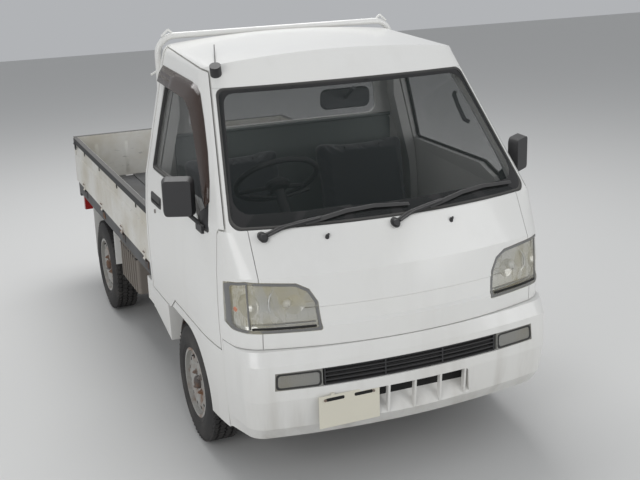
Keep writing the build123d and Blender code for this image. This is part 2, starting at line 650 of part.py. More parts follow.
PAN_HALF = BED_HALF_IN - 2.0
PAN_REAR_Y = TAIL_IN_Y - 5.0
PAN_TOP_Z = FLOOR_TOP_Z - PAN_DROP
with BuildPart() as bed_floor:
    add(slab(-PAN_HALF, PAN_HALF, BED_FRONT_Y, PAN_REAR_Y, FLOOR_TOP_Z - FLOOR_T, PAN_TOP_Z))
    for rib in range(-RIB_COUNT, RIB_COUNT + 1):
        x = rib * RIB_STEP
        add(slab(x - RIB_W / 2, x + RIB_W / 2, RIB_FRONT_Y, PAN_REAR_Y, FLOOR_TOP_Z - 7, FLOOR_TOP_Z))
    for side in (-1, 1):
        add(side_slab(side, 690, BED_SIDE_X, BED_FRONT_Y, PAN_REAR_Y, BED_SILL_Z, FLOOR_TOP_Z - 12))
        add(side_slab(side, 690, PAN_HALF, BED_FRONT_Y, PAN_REAR_Y, BED_SILL_Z, PAN_TOP_Z))
    tail_sill_y = TAIL_IN_Y + TAIL_SILL_OUT
    add(slab(-BED_SIDE_X, BED_SIDE_X, TAIL_IN_Y - 20, tail_sill_y, BED_SILL_Z - 20, FLOOR_TOP_Z - 12))
    add(slab(-BED_SIDE_X, BED_SIDE_X, BED_FRONT_Y, BED_FRONT_Y + 20, BED_SILL_Z, FLOOR_TOP_Z - 12))
keep(bed_floor, "bed_floor")

with BuildPart() as bed_sills:
    for index in range(SILL_COUNT):
        y = BED_FRONT_Y + 150 + index * SILL_STEP
        add(slab(-SILL_X, SILL_X, y - SILL_W / 2, y + SILL_W / 2, BED_SILL_Z, FLOOR_TOP_Z - FLOOR_T))
keep(bed_sills, "bed_sills")

with BuildPart() as bed_headboard:
    add(slab(-BED_HALF_IN + GATE_GAP, BED_HALF_IN - GATE_GAP, BED_FRONT_Y, BED_FRONT_Y + HEADBOARD_T,
             FLOOR_TOP_Z - PAN_DROP, GATE_TOP_Z))
    for side in (-1, 1):
        add(box(side * 612, BED_FRONT_Y + 12, GATE_TOP_Z + 20, 50, 24, 60))
keep(bed_headboard, "bed_headboard")


def gate_profile(face, thick):
    # across the gate: (distance out, z)
    back = face - thick
    step = face - GATE_STEP
    return ((back, GATE_BOTTOM_Z), (face, GATE_BOTTOM_Z), (face, STEP_Z - 6), (step, STEP_Z + 4),
            (step, GATE_TOP_Z - 16), (face - 2, GATE_TOP_Z - 11), (face - 2, GATE_TOP_Z), (back, GATE_TOP_Z))


def moving_leaf(along_x, out, at):
    # one hinge's moving leaf and its bored barrel; out is +1 or -1, at is the place along the gate
    half = HINGE_LEAF_W / 2
    if along_x:
        start = (at - half, GATE_AXIS_Y, GATE_HINGE_Z)
        end = (at + half, GATE_AXIS_Y, GATE_HINGE_Z)
        leaf = slab(at - half, at + half, GATE_FACE_Y - 1, GATE_AXIS_Y + 2, GATE_HINGE_Z, GATE_BOTTOM_Z + 46)
    else:
        x = out * GATE_AXIS_X
        start = (x, at - half, GATE_HINGE_Z)
        end = (x, at + half, GATE_HINGE_Z)
        xs = sorted((out * (GATE_FACE_X - 1), out * (GATE_AXIS_X + 2)))
        leaf = slab(*xs, at - half, at + half, GATE_HINGE_Z, GATE_BOTTOM_Z + 46)
    barrel = cylinder(start, end, HINGE_R)
    bore = cylinder(start, end, HINGE_PIN_R + 0.3)
    return (leaf + barrel) - bore


def fixed_leaf(along_x, out, at):
    # the ears and pin that carry a gate's barrel, on a plate on the bed's side
    half = HINGE_LEAF_W / 2 + 1.5
    total = half + HINGE_EAR
    if along_x:
        y0 = TAIL_IN_Y + TAIL_SILL_OUT
        plate = slab(at - total, at + total, y0, y0 + HINGE_PLATE_T, GATE_HINGE_Z - 50, GATE_HINGE_Z)
        neck = slab(at - total, at + total, y0, GATE_AXIS_Y, GATE_HINGE_Z - 6, GATE_HINGE_Z)
        y1 = y0 + HINGE_PLATE_T
        gap = slab(at - half, at + half, y1, GATE_AXIS_Y + 20, GATE_HINGE_Z - 60, GATE_HINGE_Z + 20)
        start, end = (at - total, GATE_AXIS_Y, GATE_HINGE_Z), (at + total, GATE_AXIS_Y, GATE_HINGE_Z)
    else:
        x = out * GATE_AXIS_X
        x0, x1 = out * BED_SIDE_X, out * (BED_SIDE_X + HINGE_PLATE_T)
        plate = slab(*sorted((x0, x1)), at - total, at + total, GATE_HINGE_Z - 50, GATE_HINGE_Z)
        neck = slab(*sorted((x0, x)), at - total, at + total, GATE_HINGE_Z - 6, GATE_HINGE_Z)
        xs = sorted((x1, out * (GATE_AXIS_X + 20)))
        gap = slab(*xs, at - half, at + half, GATE_HINGE_Z - 60, GATE_HINGE_Z + 20)
        start, end = (x, at - total, GATE_HINGE_Z), (x, at + total, GATE_HINGE_Z)
    ears = cylinder(start, end, HINGE_R)
    return plate + ((neck + ears) - gap) + cylinder(start, end, HINGE_PIN_R)


for side, name in ((-1, "right"), (1, "left")):
    with BuildPart() as side_gate:
        profile = [(side * x, z) for x, z in gate_profile(GATE_FACE_X, GATE_T)]
        add(front_prism(profile, BED_FRONT_Y, SIDE_GATE_REAR_Y))
        for at in SIDE_HINGES:
            add(moving_leaf(False, side, at))
    keep(side_gate, f"side_gate_{name}")

with BuildPart() as tailgate:
    add(side_prism(gate_profile(GATE_FACE_Y, GATE_T), -GATE_FACE_X, GATE_FACE_X))
    for at in TAIL_HINGES:
        add(moving_leaf(True, 1, at))
keep(tailgate, "tailgate")

with BuildPart() as gate_hinges:
    for at in SIDE_HINGES:
        for side in (-1, 1):
            add(fixed_leaf(False, side, at))
    for at in TAIL_HINGES:
        add(fixed_leaf(True, 1, at))
keep(gate_hinges, "gate_hinges")

# Guard frame over the headboard, with rope hooks
GUARD_X = 610.0
GUARD_Y = BED_FRONT_Y + 12.0
GUARD_TOP_Z = 1745.0
GUARD_R = 15.0
GUARD_BEND = 85.0
GUARD_BAR_Z = 1230.0
HOOK_X = 553.0
HOOK_R = 5.0
with BuildPart() as guard_frame:
    with BuildLine() as path:
        foot = (-GUARD_X, GUARD_Y, GATE_TOP_Z + 50)
        far_foot = (GUARD_X, GUARD_Y, GATE_TOP_Z + 50)
        bends = ((-GUARD_X, GUARD_Y, GUARD_TOP_Z), (GUARD_X, GUARD_Y, GUARD_TOP_Z))
        FilletPolyline(foot, *bends, far_foot, radius=GUARD_BEND)
    with BuildSketch(Plane(origin=foot, z_dir=(0, 0, 1))):
        Circle(GUARD_R)
    sweep()
    add(cylinder((-GUARD_X, GUARD_Y, GUARD_BAR_Z), (GUARD_X, GUARD_Y, GUARD_BAR_Z), GUARD_R - 3))
    for side in (-1, 1):
        apex = (side * HOOK_X, GUARD_Y, HEIGHT - HOOK_R)
        add(cylinder((side * HOOK_X - 34, GUARD_Y, GUARD_TOP_Z), apex, HOOK_R))
        add(cylinder((side * HOOK_X + 34, GUARD_Y, GUARD_TOP_Z), apex, HOOK_R))
        add(cylinder((side * GUARD_X, GUARD_Y, 1590), (side * (GUARD_X + 40), GUARD_Y, 1570), HOOK_R))
keep(guard_frame, "guard_frame")

# Chassis: two cranked rails and the crossmembers between them
RAIL_OUT = RAIL_X + RAIL_W
RAIL_NOSE_Y = -1610.0
RAIL_TAIL_Y = TAIL_IN_Y - 20.0
KICK_START_Y = -300.0
KICK_END_Y = -130.0
# y, depth
CROSSMEMBERS = (
    (-1580.0, 60.0), (-1270.0, 50.0), (-60.0, 50.0), (480.0, 60.0), (1040.0, 50.0), (1480.0, 60.0),
)
SPRING_X = 500.0
SPRING_FRONT_Y = 480.0
SPRING_REAR_Y = 2 * REAR_AXLE_Y - SPRING_FRONT_Y
SPRING_EYE_Z = 392.0
RAIL_SIDE = (
    (RAIL_NOSE_Y, RAIL_FRONT_Z), (KICK_START_Y, RAIL_FRONT_Z), (KICK_END_Y, RAIL_REAR_Z),
    (RAIL_TAIL_Y, RAIL_REAR_Z),
    (RAIL_TAIL_Y, BED_SILL_Z), (KICK_END_Y - 20, BED_SILL_Z), (KICK_START_Y - 20, RAIL_FRONT_Z + RAIL_H),
    (RAIL_NOSE_Y, RAIL_FRONT_Z + RAIL_H),
)
with BuildPart() as chassis_frame:
    for side in (-1, 1):
        xs = sorted((side * RAIL_X, side * RAIL_OUT))
        add(side_prism(RAIL_SIDE, xs[0], xs[1]))
        for y in (SPRING_FRONT_Y, SPRING_REAR_Y):
            add(side_slab(side, RAIL_X, SPRING_X + 28, y - 20, y + 20, RAIL_REAR_Z + 8, RAIL_REAR_Z + 50))
            for x in (SPRING_X - 31, SPRING_X + 31):
                add(side_slab(side, x - 3, x + 3, y - 17, y + 17, SPRING_EYE_Z - 18, RAIL_REAR_Z + 10))
    for y, depth in CROSSMEMBERS:
        low = RAIL_FRONT_Z if y < KICK_START_Y else RAIL_REAR_Z
        add(slab(-RAIL_X, RAIL_X, y - depth / 2, y + depth / 2, low + 8, low + RAIL_H - 12))
keep(chassis_frame, "chassis_frame")

# Rear axle with its drums, propeller shaft and leaf springs
WHEEL_Z = TYRE_R
MOUNT_FACE_X = WHEEL_X + DISC_OFFSET - HUB_GAP
SPIGOT = 14.0
AXLE_R = 30.0
DRUM_R = 100.0
DIFFERENTIAL = ((-92.0, 0.0), (-60.0, 74.0), (0.0, 94.0), (60.0, 74.0), (92.0, 0.0))
with BuildPart() as rear_axle:
    add(cylinder((-590, REAR_AXLE_Y, WHEEL_Z), (590, REAR_AXLE_Y, WHEEL_Z), AXLE_R))
    with BuildSketch(Plane.XY.offset(WHEEL_Z)):
        with BuildLine():
            Polyline(*[(x, REAR_AXLE_Y + y) for x, y in DIFFERENTIAL], close=True)
        make_face()
    revolve(axis=Axis((0, REAR_AXLE_Y, WHEEL_Z), (1, 0, 0)))
    add(cylinder((0, -96, 372), (0, REAR_AXLE_Y - 60, WHEEL_Z + 6), 28))
    for side in (-1, 1):
        add(cylinder((side * 584, REAR_AXLE_Y, WHEEL_Z), (side * 650, REAR_AXLE_Y, WHEEL_Z), DRUM_R))
        add(cylinder((side * 640, REAR_AXLE_Y, WHEEL_Z), (side * MOUNT_FACE_X, REAR_AXLE_Y, WHEEL_Z), HUB_R))
        spigot_end = (side * (MOUNT_FACE_X + SPIGOT), REAR_AXLE_Y, WHEEL_Z)
        add(cylinder((side * 640, REAR_AXLE_Y, WHEEL_Z), spigot_end, HUB_BORE_R - HUB_GAP))
keep(rear_axle, "rear_axle")

LEAF_W = 50.0
LEAF_T = 22.0
LEAF_MID_Z = WHEEL_Z + AXLE_R
with BuildPart() as leaf_springs:
    for side in (-1, 1):
        with BuildSketch(Plane.YZ.offset(side * SPRING_X - LEAF_W / 2)):
            with BuildLine():
                low_front = (SPRING_FRONT_Y, SPRING_EYE_Z - 8)
                low_rear = (SPRING_REAR_Y, SPRING_EYE_Z - 8)
                top_front = (SPRING_FRONT_Y, SPRING_EYE_Z)
                top_rear = (SPRING_REAR_Y, SPRING_EYE_Z)
                ThreePointArc(low_front, (REAR_AXLE_Y, LEAF_MID_Z), low_rear)
                Line(low_rear, top_rear)
                ThreePointArc(top_rear, (REAR_AXLE_Y, LEAF_MID_Z + LEAF_T), top_front)
                Line(top_front, low_front)
            make_face()
        extrude(amount=LEAF_W)
        for y in (SPRING_FRONT_Y, SPRING_REAR_Y):
            start = (side * (SPRING_X - 28), y, SPRING_EYE_Z - 4)
            end = (side * (SPRING_X + 28), y, SPRING_EYE_Z - 4)
            add(cylinder(start, end, 12))
keep(leaf_springs, "leaf_springs")

# Front suspension: knuckle with strut, hub and disc, and the lower arm on its crossmember
# Seen from the front, as (x, z)
KNUCKLE = ((600, 182), (626, 182), (626, 300), (570, 372), (530, 372), (530, 330), (585, 250))
LOWER_ARM = ((300, 200), (300, 225), (606, 172), (618, 172), (618, 154), (596, 154))
for side, name in ((-1, "right"), (1, "left")):
    with BuildPart() as knuckle:
        outline = [(side * x, z) for x, z in KNUCKLE]
        add(front_prism(outline, FRONT_AXLE_Y - 24, FRONT_AXLE_Y + 24))
        add(cylinder((side * 600, FRONT_AXLE_Y, WHEEL_Z), (side * MOUNT_FACE_X, FRONT_AXLE_Y, WHEEL_Z), 34))
        inner_end = (side * 672, FRONT_AXLE_Y, WHEEL_Z)
        add(cylinder(inner_end, (side * MOUNT_FACE_X, FRONT_AXLE_Y, WHEEL_Z), HUB_R))
        add(cylinder((side * 640, FRONT_AXLE_Y, WHEEL_Z), (side * 652, FRONT_AXLE_Y, WHEEL_Z), 104))
        spigot_end = (side * (MOUNT_FACE_X + SPIGOT), FRONT_AXLE_Y, WHEEL_Z)
        add(cylinder(inner_end, spigot_end, HUB_BORE_R - HUB_GAP))
    keep(knuckle, f"knuckle_{name}")
    with BuildPart() as strut:
        add(cylinder((side * 546, FRONT_AXLE_Y, 320), (side * 511, FRONT_AXLE_Y, 572), STRUT_R))
        add(cylinder((side * 533, FRONT_AXLE_Y, 412), (side * 514, FRONT_AXLE_Y, 550), SPRING_R))
        add(knuckle.part, mode=Mode.SUBTRACT)
    keep(strut, f"strut_{name}")

with BuildPart() as front_arms:
    add(slab(-310, 310, FRONT_AXLE_Y - 30, FRONT_AXLE_Y + 30, 200, 240))
    for side in (-1, 1):
        add(side_slab(side, 290, 330, FRONT_AXLE_Y - 40, FRONT_AXLE_Y + 40, 200, RAIL_FRONT_Z))
        outline = [(side * x, z) for x, z in LOWER_ARM]
        add(front_prism(outline, FRONT_AXLE_Y - 20, FRONT_AXLE_Y + 20))
keep(front_arms, "front_arms")

# Wheels: tyre and pressed steel wheel, revolved about the axle
TYRE_PROFILE = (
    (-TYRE_W / 2, BEAD_R + 22), (-TYRE_W / 2, 226), (-TREAD_W / 2, TYRE_R), (TREAD_W / 2, TYRE_R),
    (TYRE_W / 2, 226), (TYRE_W / 2, BEAD_R + 22), (RIM_W / 2 - 6, BEAD_R), (-RIM_W / 2 + 6, BEAD_R),
)
RIM_PROFILE = (
    (-RIM_W / 2, BEAD_R - 5), (-RIM_W / 2, RIM_R), (-RIM_W / 2 + 5, BEAD_R), (RIM_W / 2 - 5, BEAD_R),
    (RIM_W / 2, RIM_R), (RIM_W / 2, BEAD_R - 5), (DISC_OFFSET + 6, BEAD_R - 5),
    (DISC_OFFSET + DISC_T + 9, 104), (DISC_OFFSET + DISC_T, 82), (DISC_OFFSET + DISC_T, HUB_BORE_R),
    (DISC_OFFSET, HUB_BORE_R), (DISC_OFFSET, 84), (DISC_OFFSET + 8, 104),
    (DISC_OFFSET - 4, BEAD_R - 5),
)
WHEELS = (
    ("front_right", -1, FRONT_AXLE_Y), ("front_left", 1, FRONT_AXLE_Y),
    ("rear_right", -1, REAR_AXLE_Y), ("rear_left", 1, REAR_AXLE_Y),
)


def wheel_plane(side, y):
    # local x runs outwards along the axle, local y up
    return Plane(origin=(side * WHEEL_X, y, WHEEL_Z), x_dir=(side, 0, 0), z_dir=(0, -side, 0))


for name, side, y in WHEELS:
    plane = wheel_plane(side, y)
    spin = Axis((side * WHEEL_X, y, WHEEL_Z), (1, 0, 0))
    with BuildPart() as tyre:
        with BuildSketch(plane):
            with BuildLine():
                Polyline(*TYRE_PROFILE, close=True)
            make_face()
        revolve(axis=spin)
    keep(tyre, f"tyre_{name}")
    with BuildPart() as rim:
        with BuildSketch(plane):
            with BuildLine():
                Polyline(*RIM_PROFILE, close=True)
            make_face()
        revolve(axis=spin)
        add(tyre.part, mode=Mode.SUBTRACT)
    keep(rim, f"rim_{name}")

SPARE_Y = 1365.0
SPARE_Z = 385.0
SPARE_PROFILE = (
    (-TYRE_W / 2, BEAD_R), (-TYRE_W / 2, 222), (-TREAD_W / 2, TYRE_R), (TREAD_W / 2, TYRE_R),
    (TYRE_W / 2, 222), (TYRE_W / 2, BEAD_R), (DISC_OFFSET, BEAD_R - 4), (DISC_OFFSET, HUB_BORE_R),
    (DISC_OFFSET - 5, HUB_BORE_R), (DISC_OFFSET - 5, BEAD_R - 10), (-TYRE_W / 2, BEAD_R - 10),
)
with BuildPart() as spare_wheel:
    with BuildSketch(Plane(origin=(0, SPARE_Y, SPARE_Z), x_dir=(0, 0, -1), z_dir=(1, 0, 0))):
        with BuildLine():
            Polyline(*SPARE_PROFILE, close=True)
        make_face()
    revolve(axis=Axis((0, SPARE_Y, SPARE_Z), (0, 0, 1)))
    add(slab(-22, 22, SPARE_Y - 40, SPARE_Y + 40, SPARE_Z - DISC_OFFSET, SPARE_Z - DISC_OFFSET + 8))
    add(cylinder((0, SPARE_Y, SPARE_Z - DISC_OFFSET), (0, SPARE_Y, RAIL_REAR_Z + 8), 8))
keep(spare_wheel, "spare_wheel")

# Under the cab and bed: engine and gearbox as plain blocks, exhaust, fuel tank, battery box, mudguards
with BuildPart() as engine_block:
    add(slab(-230, 230, -890, -430, 262, SEAT_Z - 12))
    add(slab(-110, 110, -430, -100, 280, 455))
    add(slab(-RAIL_X, RAIL_X, -700, -640, 430, 470))
keep(engine_block, "engine_block")

with BuildPart() as exhaust:
    add(cylinder((165, -430, 345), (165, 120, 345), 18))
    add(cylinder((165, 120, 345), (165, 440, 345), 68))
    add(cylinder((165, 440, 345), (165, 700, 345), 18))
    add(slab(150, 180, 440, 460, 345, RAIL_REAR_Z + 8))
keep(exhaust, "exhaust")

with BuildPart() as fuel_tank:
    add(slab(RAIL_OUT + 20, 680, -80, 440, 300, 500))
    fillet(fuel_tank.edges().filter_by(Axis.Y), 26)
    for y in (20, 340):
        add(slab(RAIL_OUT, RAIL_OUT + 40, y - 20, y + 20, 488, 530))
        add(slab(RAIL_OUT + 30, 640, y - 20, y + 20, 496, 504))
keep(fuel_tank, "fuel_tank")

BATTERY_Y = (240.0, 640.0)
BATTERY_IN_X = 540.0
with BuildPart() as battery_box:
    add(slab(-688, -BATTERY_IN_X, BATTERY_Y[0], BATTERY_Y[1], 308, 556))
    fillet(battery_box.edges().filter_by(Axis.Z), 18)
    for index in range(7):
        y = BATTERY_Y[0] + 35 + index * 55
        add(box(-(BATTERY_IN_X + 694) / 2, y, 432, 694 - BATTERY_IN_X, 14, 236))
    for y in (270, 400):
        add(slab(-BATTERY_IN_X - 2, -RAIL_OUT, y, y + 40, 500, 540))
keep(battery_box, "battery_box")

GUARD_CLEAR = 20.0
# y, foot height
MUDGUARDS = ((REAR_AXLE_Y - TYRE_R - GUARD_CLEAR - 8, 360), (REAR_AXLE_Y + TYRE_R + GUARD_CLEAR, 250))
with BuildPart() as mudguards:
    for side in (-1, 1):
        for y, low in MUDGUARDS:
            add(side_slab(side, 580, 716, y, y + 8, low, BED_SILL_Z))
keep(mudguards, "mudguards")

# Rear lamps and plates
with BuildPart() as rear_lamps:
    for side in (-1, 1):
        add(side_slab(side, 470, 700, TAIL_IN_Y - 14, TAIL_IN_Y + 18, 452, 544))
        add(side_slab(side, 560, 600, TAIL_IN_Y - 14, TAIL_IN_Y + 6, 500, BED_SILL_Z - 20))
keep(rear_lamps, "rear_lamps")

with BuildPart() as number_plates:
    add(box(FRONT_PLATE[0], NOSE_Y + 10, FRONT_PLATE[2], PLATE_W, PLATE_T, PLATE_H))
    for x in (-70, 70):
        add(box(FRONT_PLATE[0] + x, NOSE_Y + 20, 455, 14, 20, 20))
    add(box(0, TAIL_IN_Y + 12, 470, PLATE_W, PLATE_T, PLATE_H))
    add(slab(-30, 30, TAIL_IN_Y - 6, TAIL_IN_Y + 12, 530, BED_SILL_Z - 20))
    add(front_bumper.part, mode=Mode.SUBTRACT)
    add(bed_floor.part, mode=Mode.SUBTRACT)
keep(number_plates, "number_plates")

# Cabin: dashboard, steering column and wheel, seats
DASH = (
    (-1640.0, 1096.0), (-1345.0, 1086.0), (-1300.0, 1040.0), (-1315.0, 900.0), (-1400.0, 850.0),
    (-1640.0, 850.0),
)
with BuildPart() as dashboard:
    add(inner_form(66))
    add(side_prism(DASH, -640, 640, radius=12), mode=Mode.INTERSECT)
    add(slab(-560, -110, -1420, -1330, 1060, 1118))
keep(dashboard, "dashboard")

STEER_X = -330.0
STEER_Y = -1050.0
STEER_Z = 1190.0
STEER_RAKE = 50.0
STEER_R = 180.0
STEER_GRIP = 12.0
rake = math.radians(STEER_RAKE)
steer_dir = Vector(0, math.cos(rake), math.sin(rake))
hub = Vector(STEER_X, STEER_Y, STEER_Z) - steer_dir * 30
column_foot = hub - steer_dir * 330
with BuildPart() as steering_column:
    add(cylinder(tuple(column_foot), tuple(hub - steer_dir * 26), 24))
    add(slab(STEER_X - 22, STEER_X + 22, -1318, column_foot.Y + 12, column_foot.Z - 20, column_foot.Z + 24))
    add(dashboard.part, mode=Mode.SUBTRACT)
keep(steering_column, "steering_column")

rim_plane = Plane(origin=(STEER_X, STEER_Y, STEER_Z), x_dir=(1, 0, 0), z_dir=tuple(steer_dir))
with BuildPart() as steering_wheel:
    with BuildSketch(Plane(origin=(STEER_X, STEER_Y, STEER_Z), x_dir=tuple(steer_dir), z_dir=(1, 0, 0))):
        with Locations((0, STEER_R)):
            RegularPolygon(STEER_GRIP, 8)
    revolve(axis=Axis((STEER_X, STEER_Y, STEER_Z), tuple(steer_dir)))
    add(cylinder(tuple(hub - steer_dir * 14), tuple(hub + steer_dir * 12), 48))
    for angle in (-90, 30, 150):
        a = math.radians(angle)
        tip = rim_plane.from_local_coords(Vector(math.cos(a) * STEER_R, math.sin(a) * STEER_R, 0))
        add(cylinder(tuple(hub), tuple(tip), 9))
keep(steering_wheel, "steering_wheel")

SEAT_X = 335.0
SEAT_W = 490.0
SEAT_SIDE = (
    (-1150.0, SEAT_Z + PAN_T + 1), (-1165.0, 700.0), (-1150.0, 745.0), (-640.0, 725.0), (-500.0, 1190.0),
    (-470.0, 1215.0), (-405.0, 1205.0), (-440.0, 1120.0), (-560.0, SEAT_Z + PAN_T + 1),
)
with BuildPart() as seats:
    for side in (-1, 1):
        add(side_prism(SEAT_SIDE, side * SEAT_X - SEAT_W / 2, side * SEAT_X + SEAT_W / 2))
keep(seats, "seats")

# Aerial at the roof's right front corner, laid back over the roof
AERIAL_ROOT = (-550.0, -978.0, 1688.0)
AERIAL_TIP = (-448.0, -646.0, 1732.0)
aerial_block = cylinder((-545, -975, 1630), (-558, -1003, 1690), 24)
with BuildPart() as aerial:
    add(aerial_block)
    add(cylinder(AERIAL_ROOT, AERIAL_TIP, 2.5))
    add(outer, mode=Mode.SUBTRACT)
keep(aerial, "aerial")
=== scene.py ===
import math

import bmesh
import bpy
from bpy.props import FloatProperty, FloatVectorProperty, IntProperty, PointerProperty
from mathutils import Matrix, Vector
from mathutils.bvhtree import BVHTree


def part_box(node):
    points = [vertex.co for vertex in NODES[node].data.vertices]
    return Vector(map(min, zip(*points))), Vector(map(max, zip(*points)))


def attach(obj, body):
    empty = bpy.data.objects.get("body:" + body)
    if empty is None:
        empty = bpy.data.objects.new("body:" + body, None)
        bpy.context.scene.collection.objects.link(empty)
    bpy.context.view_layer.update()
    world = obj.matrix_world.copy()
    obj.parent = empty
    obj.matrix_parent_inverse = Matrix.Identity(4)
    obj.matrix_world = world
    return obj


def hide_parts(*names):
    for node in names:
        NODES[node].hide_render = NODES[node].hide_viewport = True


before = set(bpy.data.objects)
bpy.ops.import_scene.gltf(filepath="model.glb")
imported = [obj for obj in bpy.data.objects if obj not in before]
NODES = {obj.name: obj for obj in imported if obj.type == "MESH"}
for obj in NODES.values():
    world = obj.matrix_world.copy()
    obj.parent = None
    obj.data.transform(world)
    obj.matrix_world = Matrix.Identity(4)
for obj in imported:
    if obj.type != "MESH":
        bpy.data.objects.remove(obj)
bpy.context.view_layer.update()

bl_info = {
    "name": "Small Cab-over Pickup",
    "version": (1, 0, 0),
    "blender": (4, 5, 0),
    "location": "View3D > Sidebar > Pickup",
    "description": "Dresses the packed pickup with trim, glass, seats, tyres and paint",
    "category": "Object",
}

IMAGE_W = 640
SIDES = (("right", -1), ("left", 1))
WHEELS = ("front_right", "front_left", "rear_right", "rear_left")


# Shader expressions

class Wire:
    """An output socket that can stand in a Python expression."""

    def __init__(self, owner, socket):
        self.owner = owner
        self.socket = socket

    def math(self, operation, a, b=0.0, clamp=False):
        return self.owner.node("ShaderNodeMath", {0: a, 1: b}, operation=operation, use_clamp=clamp)

    def __add__(self, other):
        return self.math("ADD", self, other)

    def __rsub__(self, other):
        return self.math("SUBTRACT", other, self)

    def __mul__(self, other):
        return self.math("MULTIPLY", self, other)

    __radd__ = __add__
    __rmul__ = __mul__

    def clamped(self):
        return self.math("MULTIPLY", self, 1.0, clamp=True)

    def sine(self):
        return self.math("SINE", self)

    def size(self):
        return self.math("ABSOLUTE", self)

    def ease(self, low, high):
        """0 at low, 1 at high, smooth between them; low may be the larger."""
        values = {"Value": self, "From Min": low, "From Max": high}
        return self.owner.node("ShaderNodeMapRange", values, interpolation_type="SMOOTHSTEP")


class Finish:
    """A material with one Principled shader, built by expressions."""

    def __init__(self, name, colour, roughness, metallic=0.0, coat=0.0, **fixed):
        self.material = bpy.data.materials.new(name)
        self.material.use_nodes = True
        self.tree = self.material.node_tree
        self.shader = self.tree.nodes["Principled BSDF"]
        self.set("Base Color", (*colour, 1.0))
        self.set("Roughness", roughness)
        self.set("Metallic", metallic)
        self.set("Coat Weight", coat)
        for socket, value in fixed.items():
            self.set(socket.replace("_", " "), value)
        self.place = self.node("ShaderNodeTexCoord", output="Object")

    def node(self, kind, values=None, output=0, **settings):
        made = self.tree.nodes.new(kind)
        for key, value in settings.items():
            setattr(made, key, value)
        for key, value in (values or {}).items():
            self.feed(made.inputs[key], value)
        return Wire(self, made.outputs[output])

    def feed(self, socket, value):
        if isinstance(value, Wire):
            self.tree.links.new(value.socket, socket)
        elif hasattr(socket.default_value, "__len__") and not hasattr(value, "__len__"):
            socket.default_value = (value,) * 3
        elif hasattr(value, "__len__") and len(value) == 3 and len(socket.default_value) == 4:
            socket.default_value = (*value, 1.0)
        else:
            socket.default_value = value

    def set(self, socket, value):
        self.feed(self.shader.inputs[socket], value)

    def axis(self, name):
        """One coordinate of the piece, in metres: X, Y or Z."""
        return self.node("ShaderNodeSeparateXYZ", {0: self.place}, output=name)

    def noise(self, scale, detail=3.0, rough=0.55, stretch=None):
        place = self.place
        if stretch:
            place = self.node("ShaderNodeMapping", {"Vector": place, "Scale": stretch})
        values = {"Vector": place, "Scale": scale, "Detail": detail, "Roughness": rough}
        return self.node("ShaderNodeTexNoise", values)

    def speckle(self, scale):
        values = {"Vector": self.place, "Scale": scale}
        return self.node("ShaderNodeTexVoronoi", values, output="Distance", feature="F1")

    def blend(self, amount, first, second):
        mix = self.tree.nodes.new("ShaderNodeMix")
        mix.data_type = "RGBA"
        self.feed(mix.inputs[0], amount)
        self.feed(mix.inputs[6], first)
        self.feed(mix.inputs[7], second)
        return Wire(self, mix.outputs[2])

    def bump(self, height, strength, distance):
        values = {"Strength": strength, "Distance": distance, "Height": height}
        self.set("Normal", self.node("ShaderNodeBump", values))

    def upward(self):
        """The upward part of the surface's normal in the piece's own space, -1 to 1."""
        normal = self.node("ShaderNodeTexCoord", output="Normal")
        return self.node("ShaderNodeSeparateXYZ", {0: normal}, output="Z")


# Kinds of finish

def shaded(colour, weights):
    return tuple(min(1.0, c * w) for c, w in zip(colour, weights))


def paint_finish(name, colour, dirt, age):
    """Gloss body paint: faint clouding, grime and rust freckles towards the ground."""
    f = Finish(name, colour, 0.3, coat=0.35, Coat_Roughness=0.08, IOR=1.5)
    cloud = f.noise(2.2, 4.0)
    low = f.axis("Z").ease(0.75, 0.2)
    streak = f.noise(9.0, 4.0, stretch=(1.0, 1.0, 0.12)).ease(0.45, 0.8)
    grime = (low * (0.35 + streak * 0.65) + streak * 0.12) * dirt
    freckle = f.speckle(95.0).ease(0.13, 0.05) * f.noise(5.0, 3.0).ease(0.55, 0.75) * age
    aged = f.blend(cloud * 0.5, colour, shaded(colour, (0.985, 0.97, 0.92)))
    soiled = f.blend(grime.clamped(), aged, (0.36, 0.33, 0.28))
    f.set("Base Color", f.blend(freckle.clamped(), soiled, (0.22, 0.10, 0.05)))
    f.set("Roughness", 0.24 + cloud * 0.12 + grime * 0.35)
    f.set("Coat Weight", 0.4 - grime * 0.4)
    f.bump(f.noise(420.0, 1.0), 0.02, 0.0005)
    return f.material


def worn_paint_finish(name, colour, bare):
    """Paint of a used bed: scrapes down to primer and steel, stains and dust."""
    f = Finish(name, colour, 0.5)
    stain = f.noise(3.0, 5.0, 0.6)
    scrape = f.noise(14.0, 6.0, 0.7, stretch=(1.0, 0.15, 1.0)).ease(0.6, 0.68)
    scuff = f.noise(60.0, 3.0, 0.6, stretch=(0.2, 1.0, 1.0)).ease(0.64, 0.72) * 0.7
    aged = f.blend(stain.ease(0.35, 0.75), colour, shaded(colour, (0.80, 0.76, 0.68)))
    worn = f.blend(scuff.clamped(), aged, shaded(colour, (0.55, 0.55, 0.55)))
    f.set("Base Color", f.blend(scrape * f.noise(2.0).ease(0.5, 0.65), worn, bare))
    f.set("Roughness", 0.42 + stain * 0.25)
    f.bump(stain + scrape * -0.2, 0.12, 0.002)
    return f.material


def moulded_finish(name, colour, roughness, grain, dust):
    """Moulded plastic or rubber with a fine grain and settled dust."""
    f = Finish(name, colour, roughness)
    haze = f.noise(6.0, 4.0)
    dusty = (f.upward().ease(0.2, 1.0) * dust + haze * dust * 0.4).clamped()
    f.set("Base Color", f.blend(dusty, colour, (0.30, 0.29, 0.27)))
    f.set("Roughness", roughness - 0.08 + haze * 0.16)
    f.bump(f.speckle(grain), 0.25, 0.0006)
    return f.material


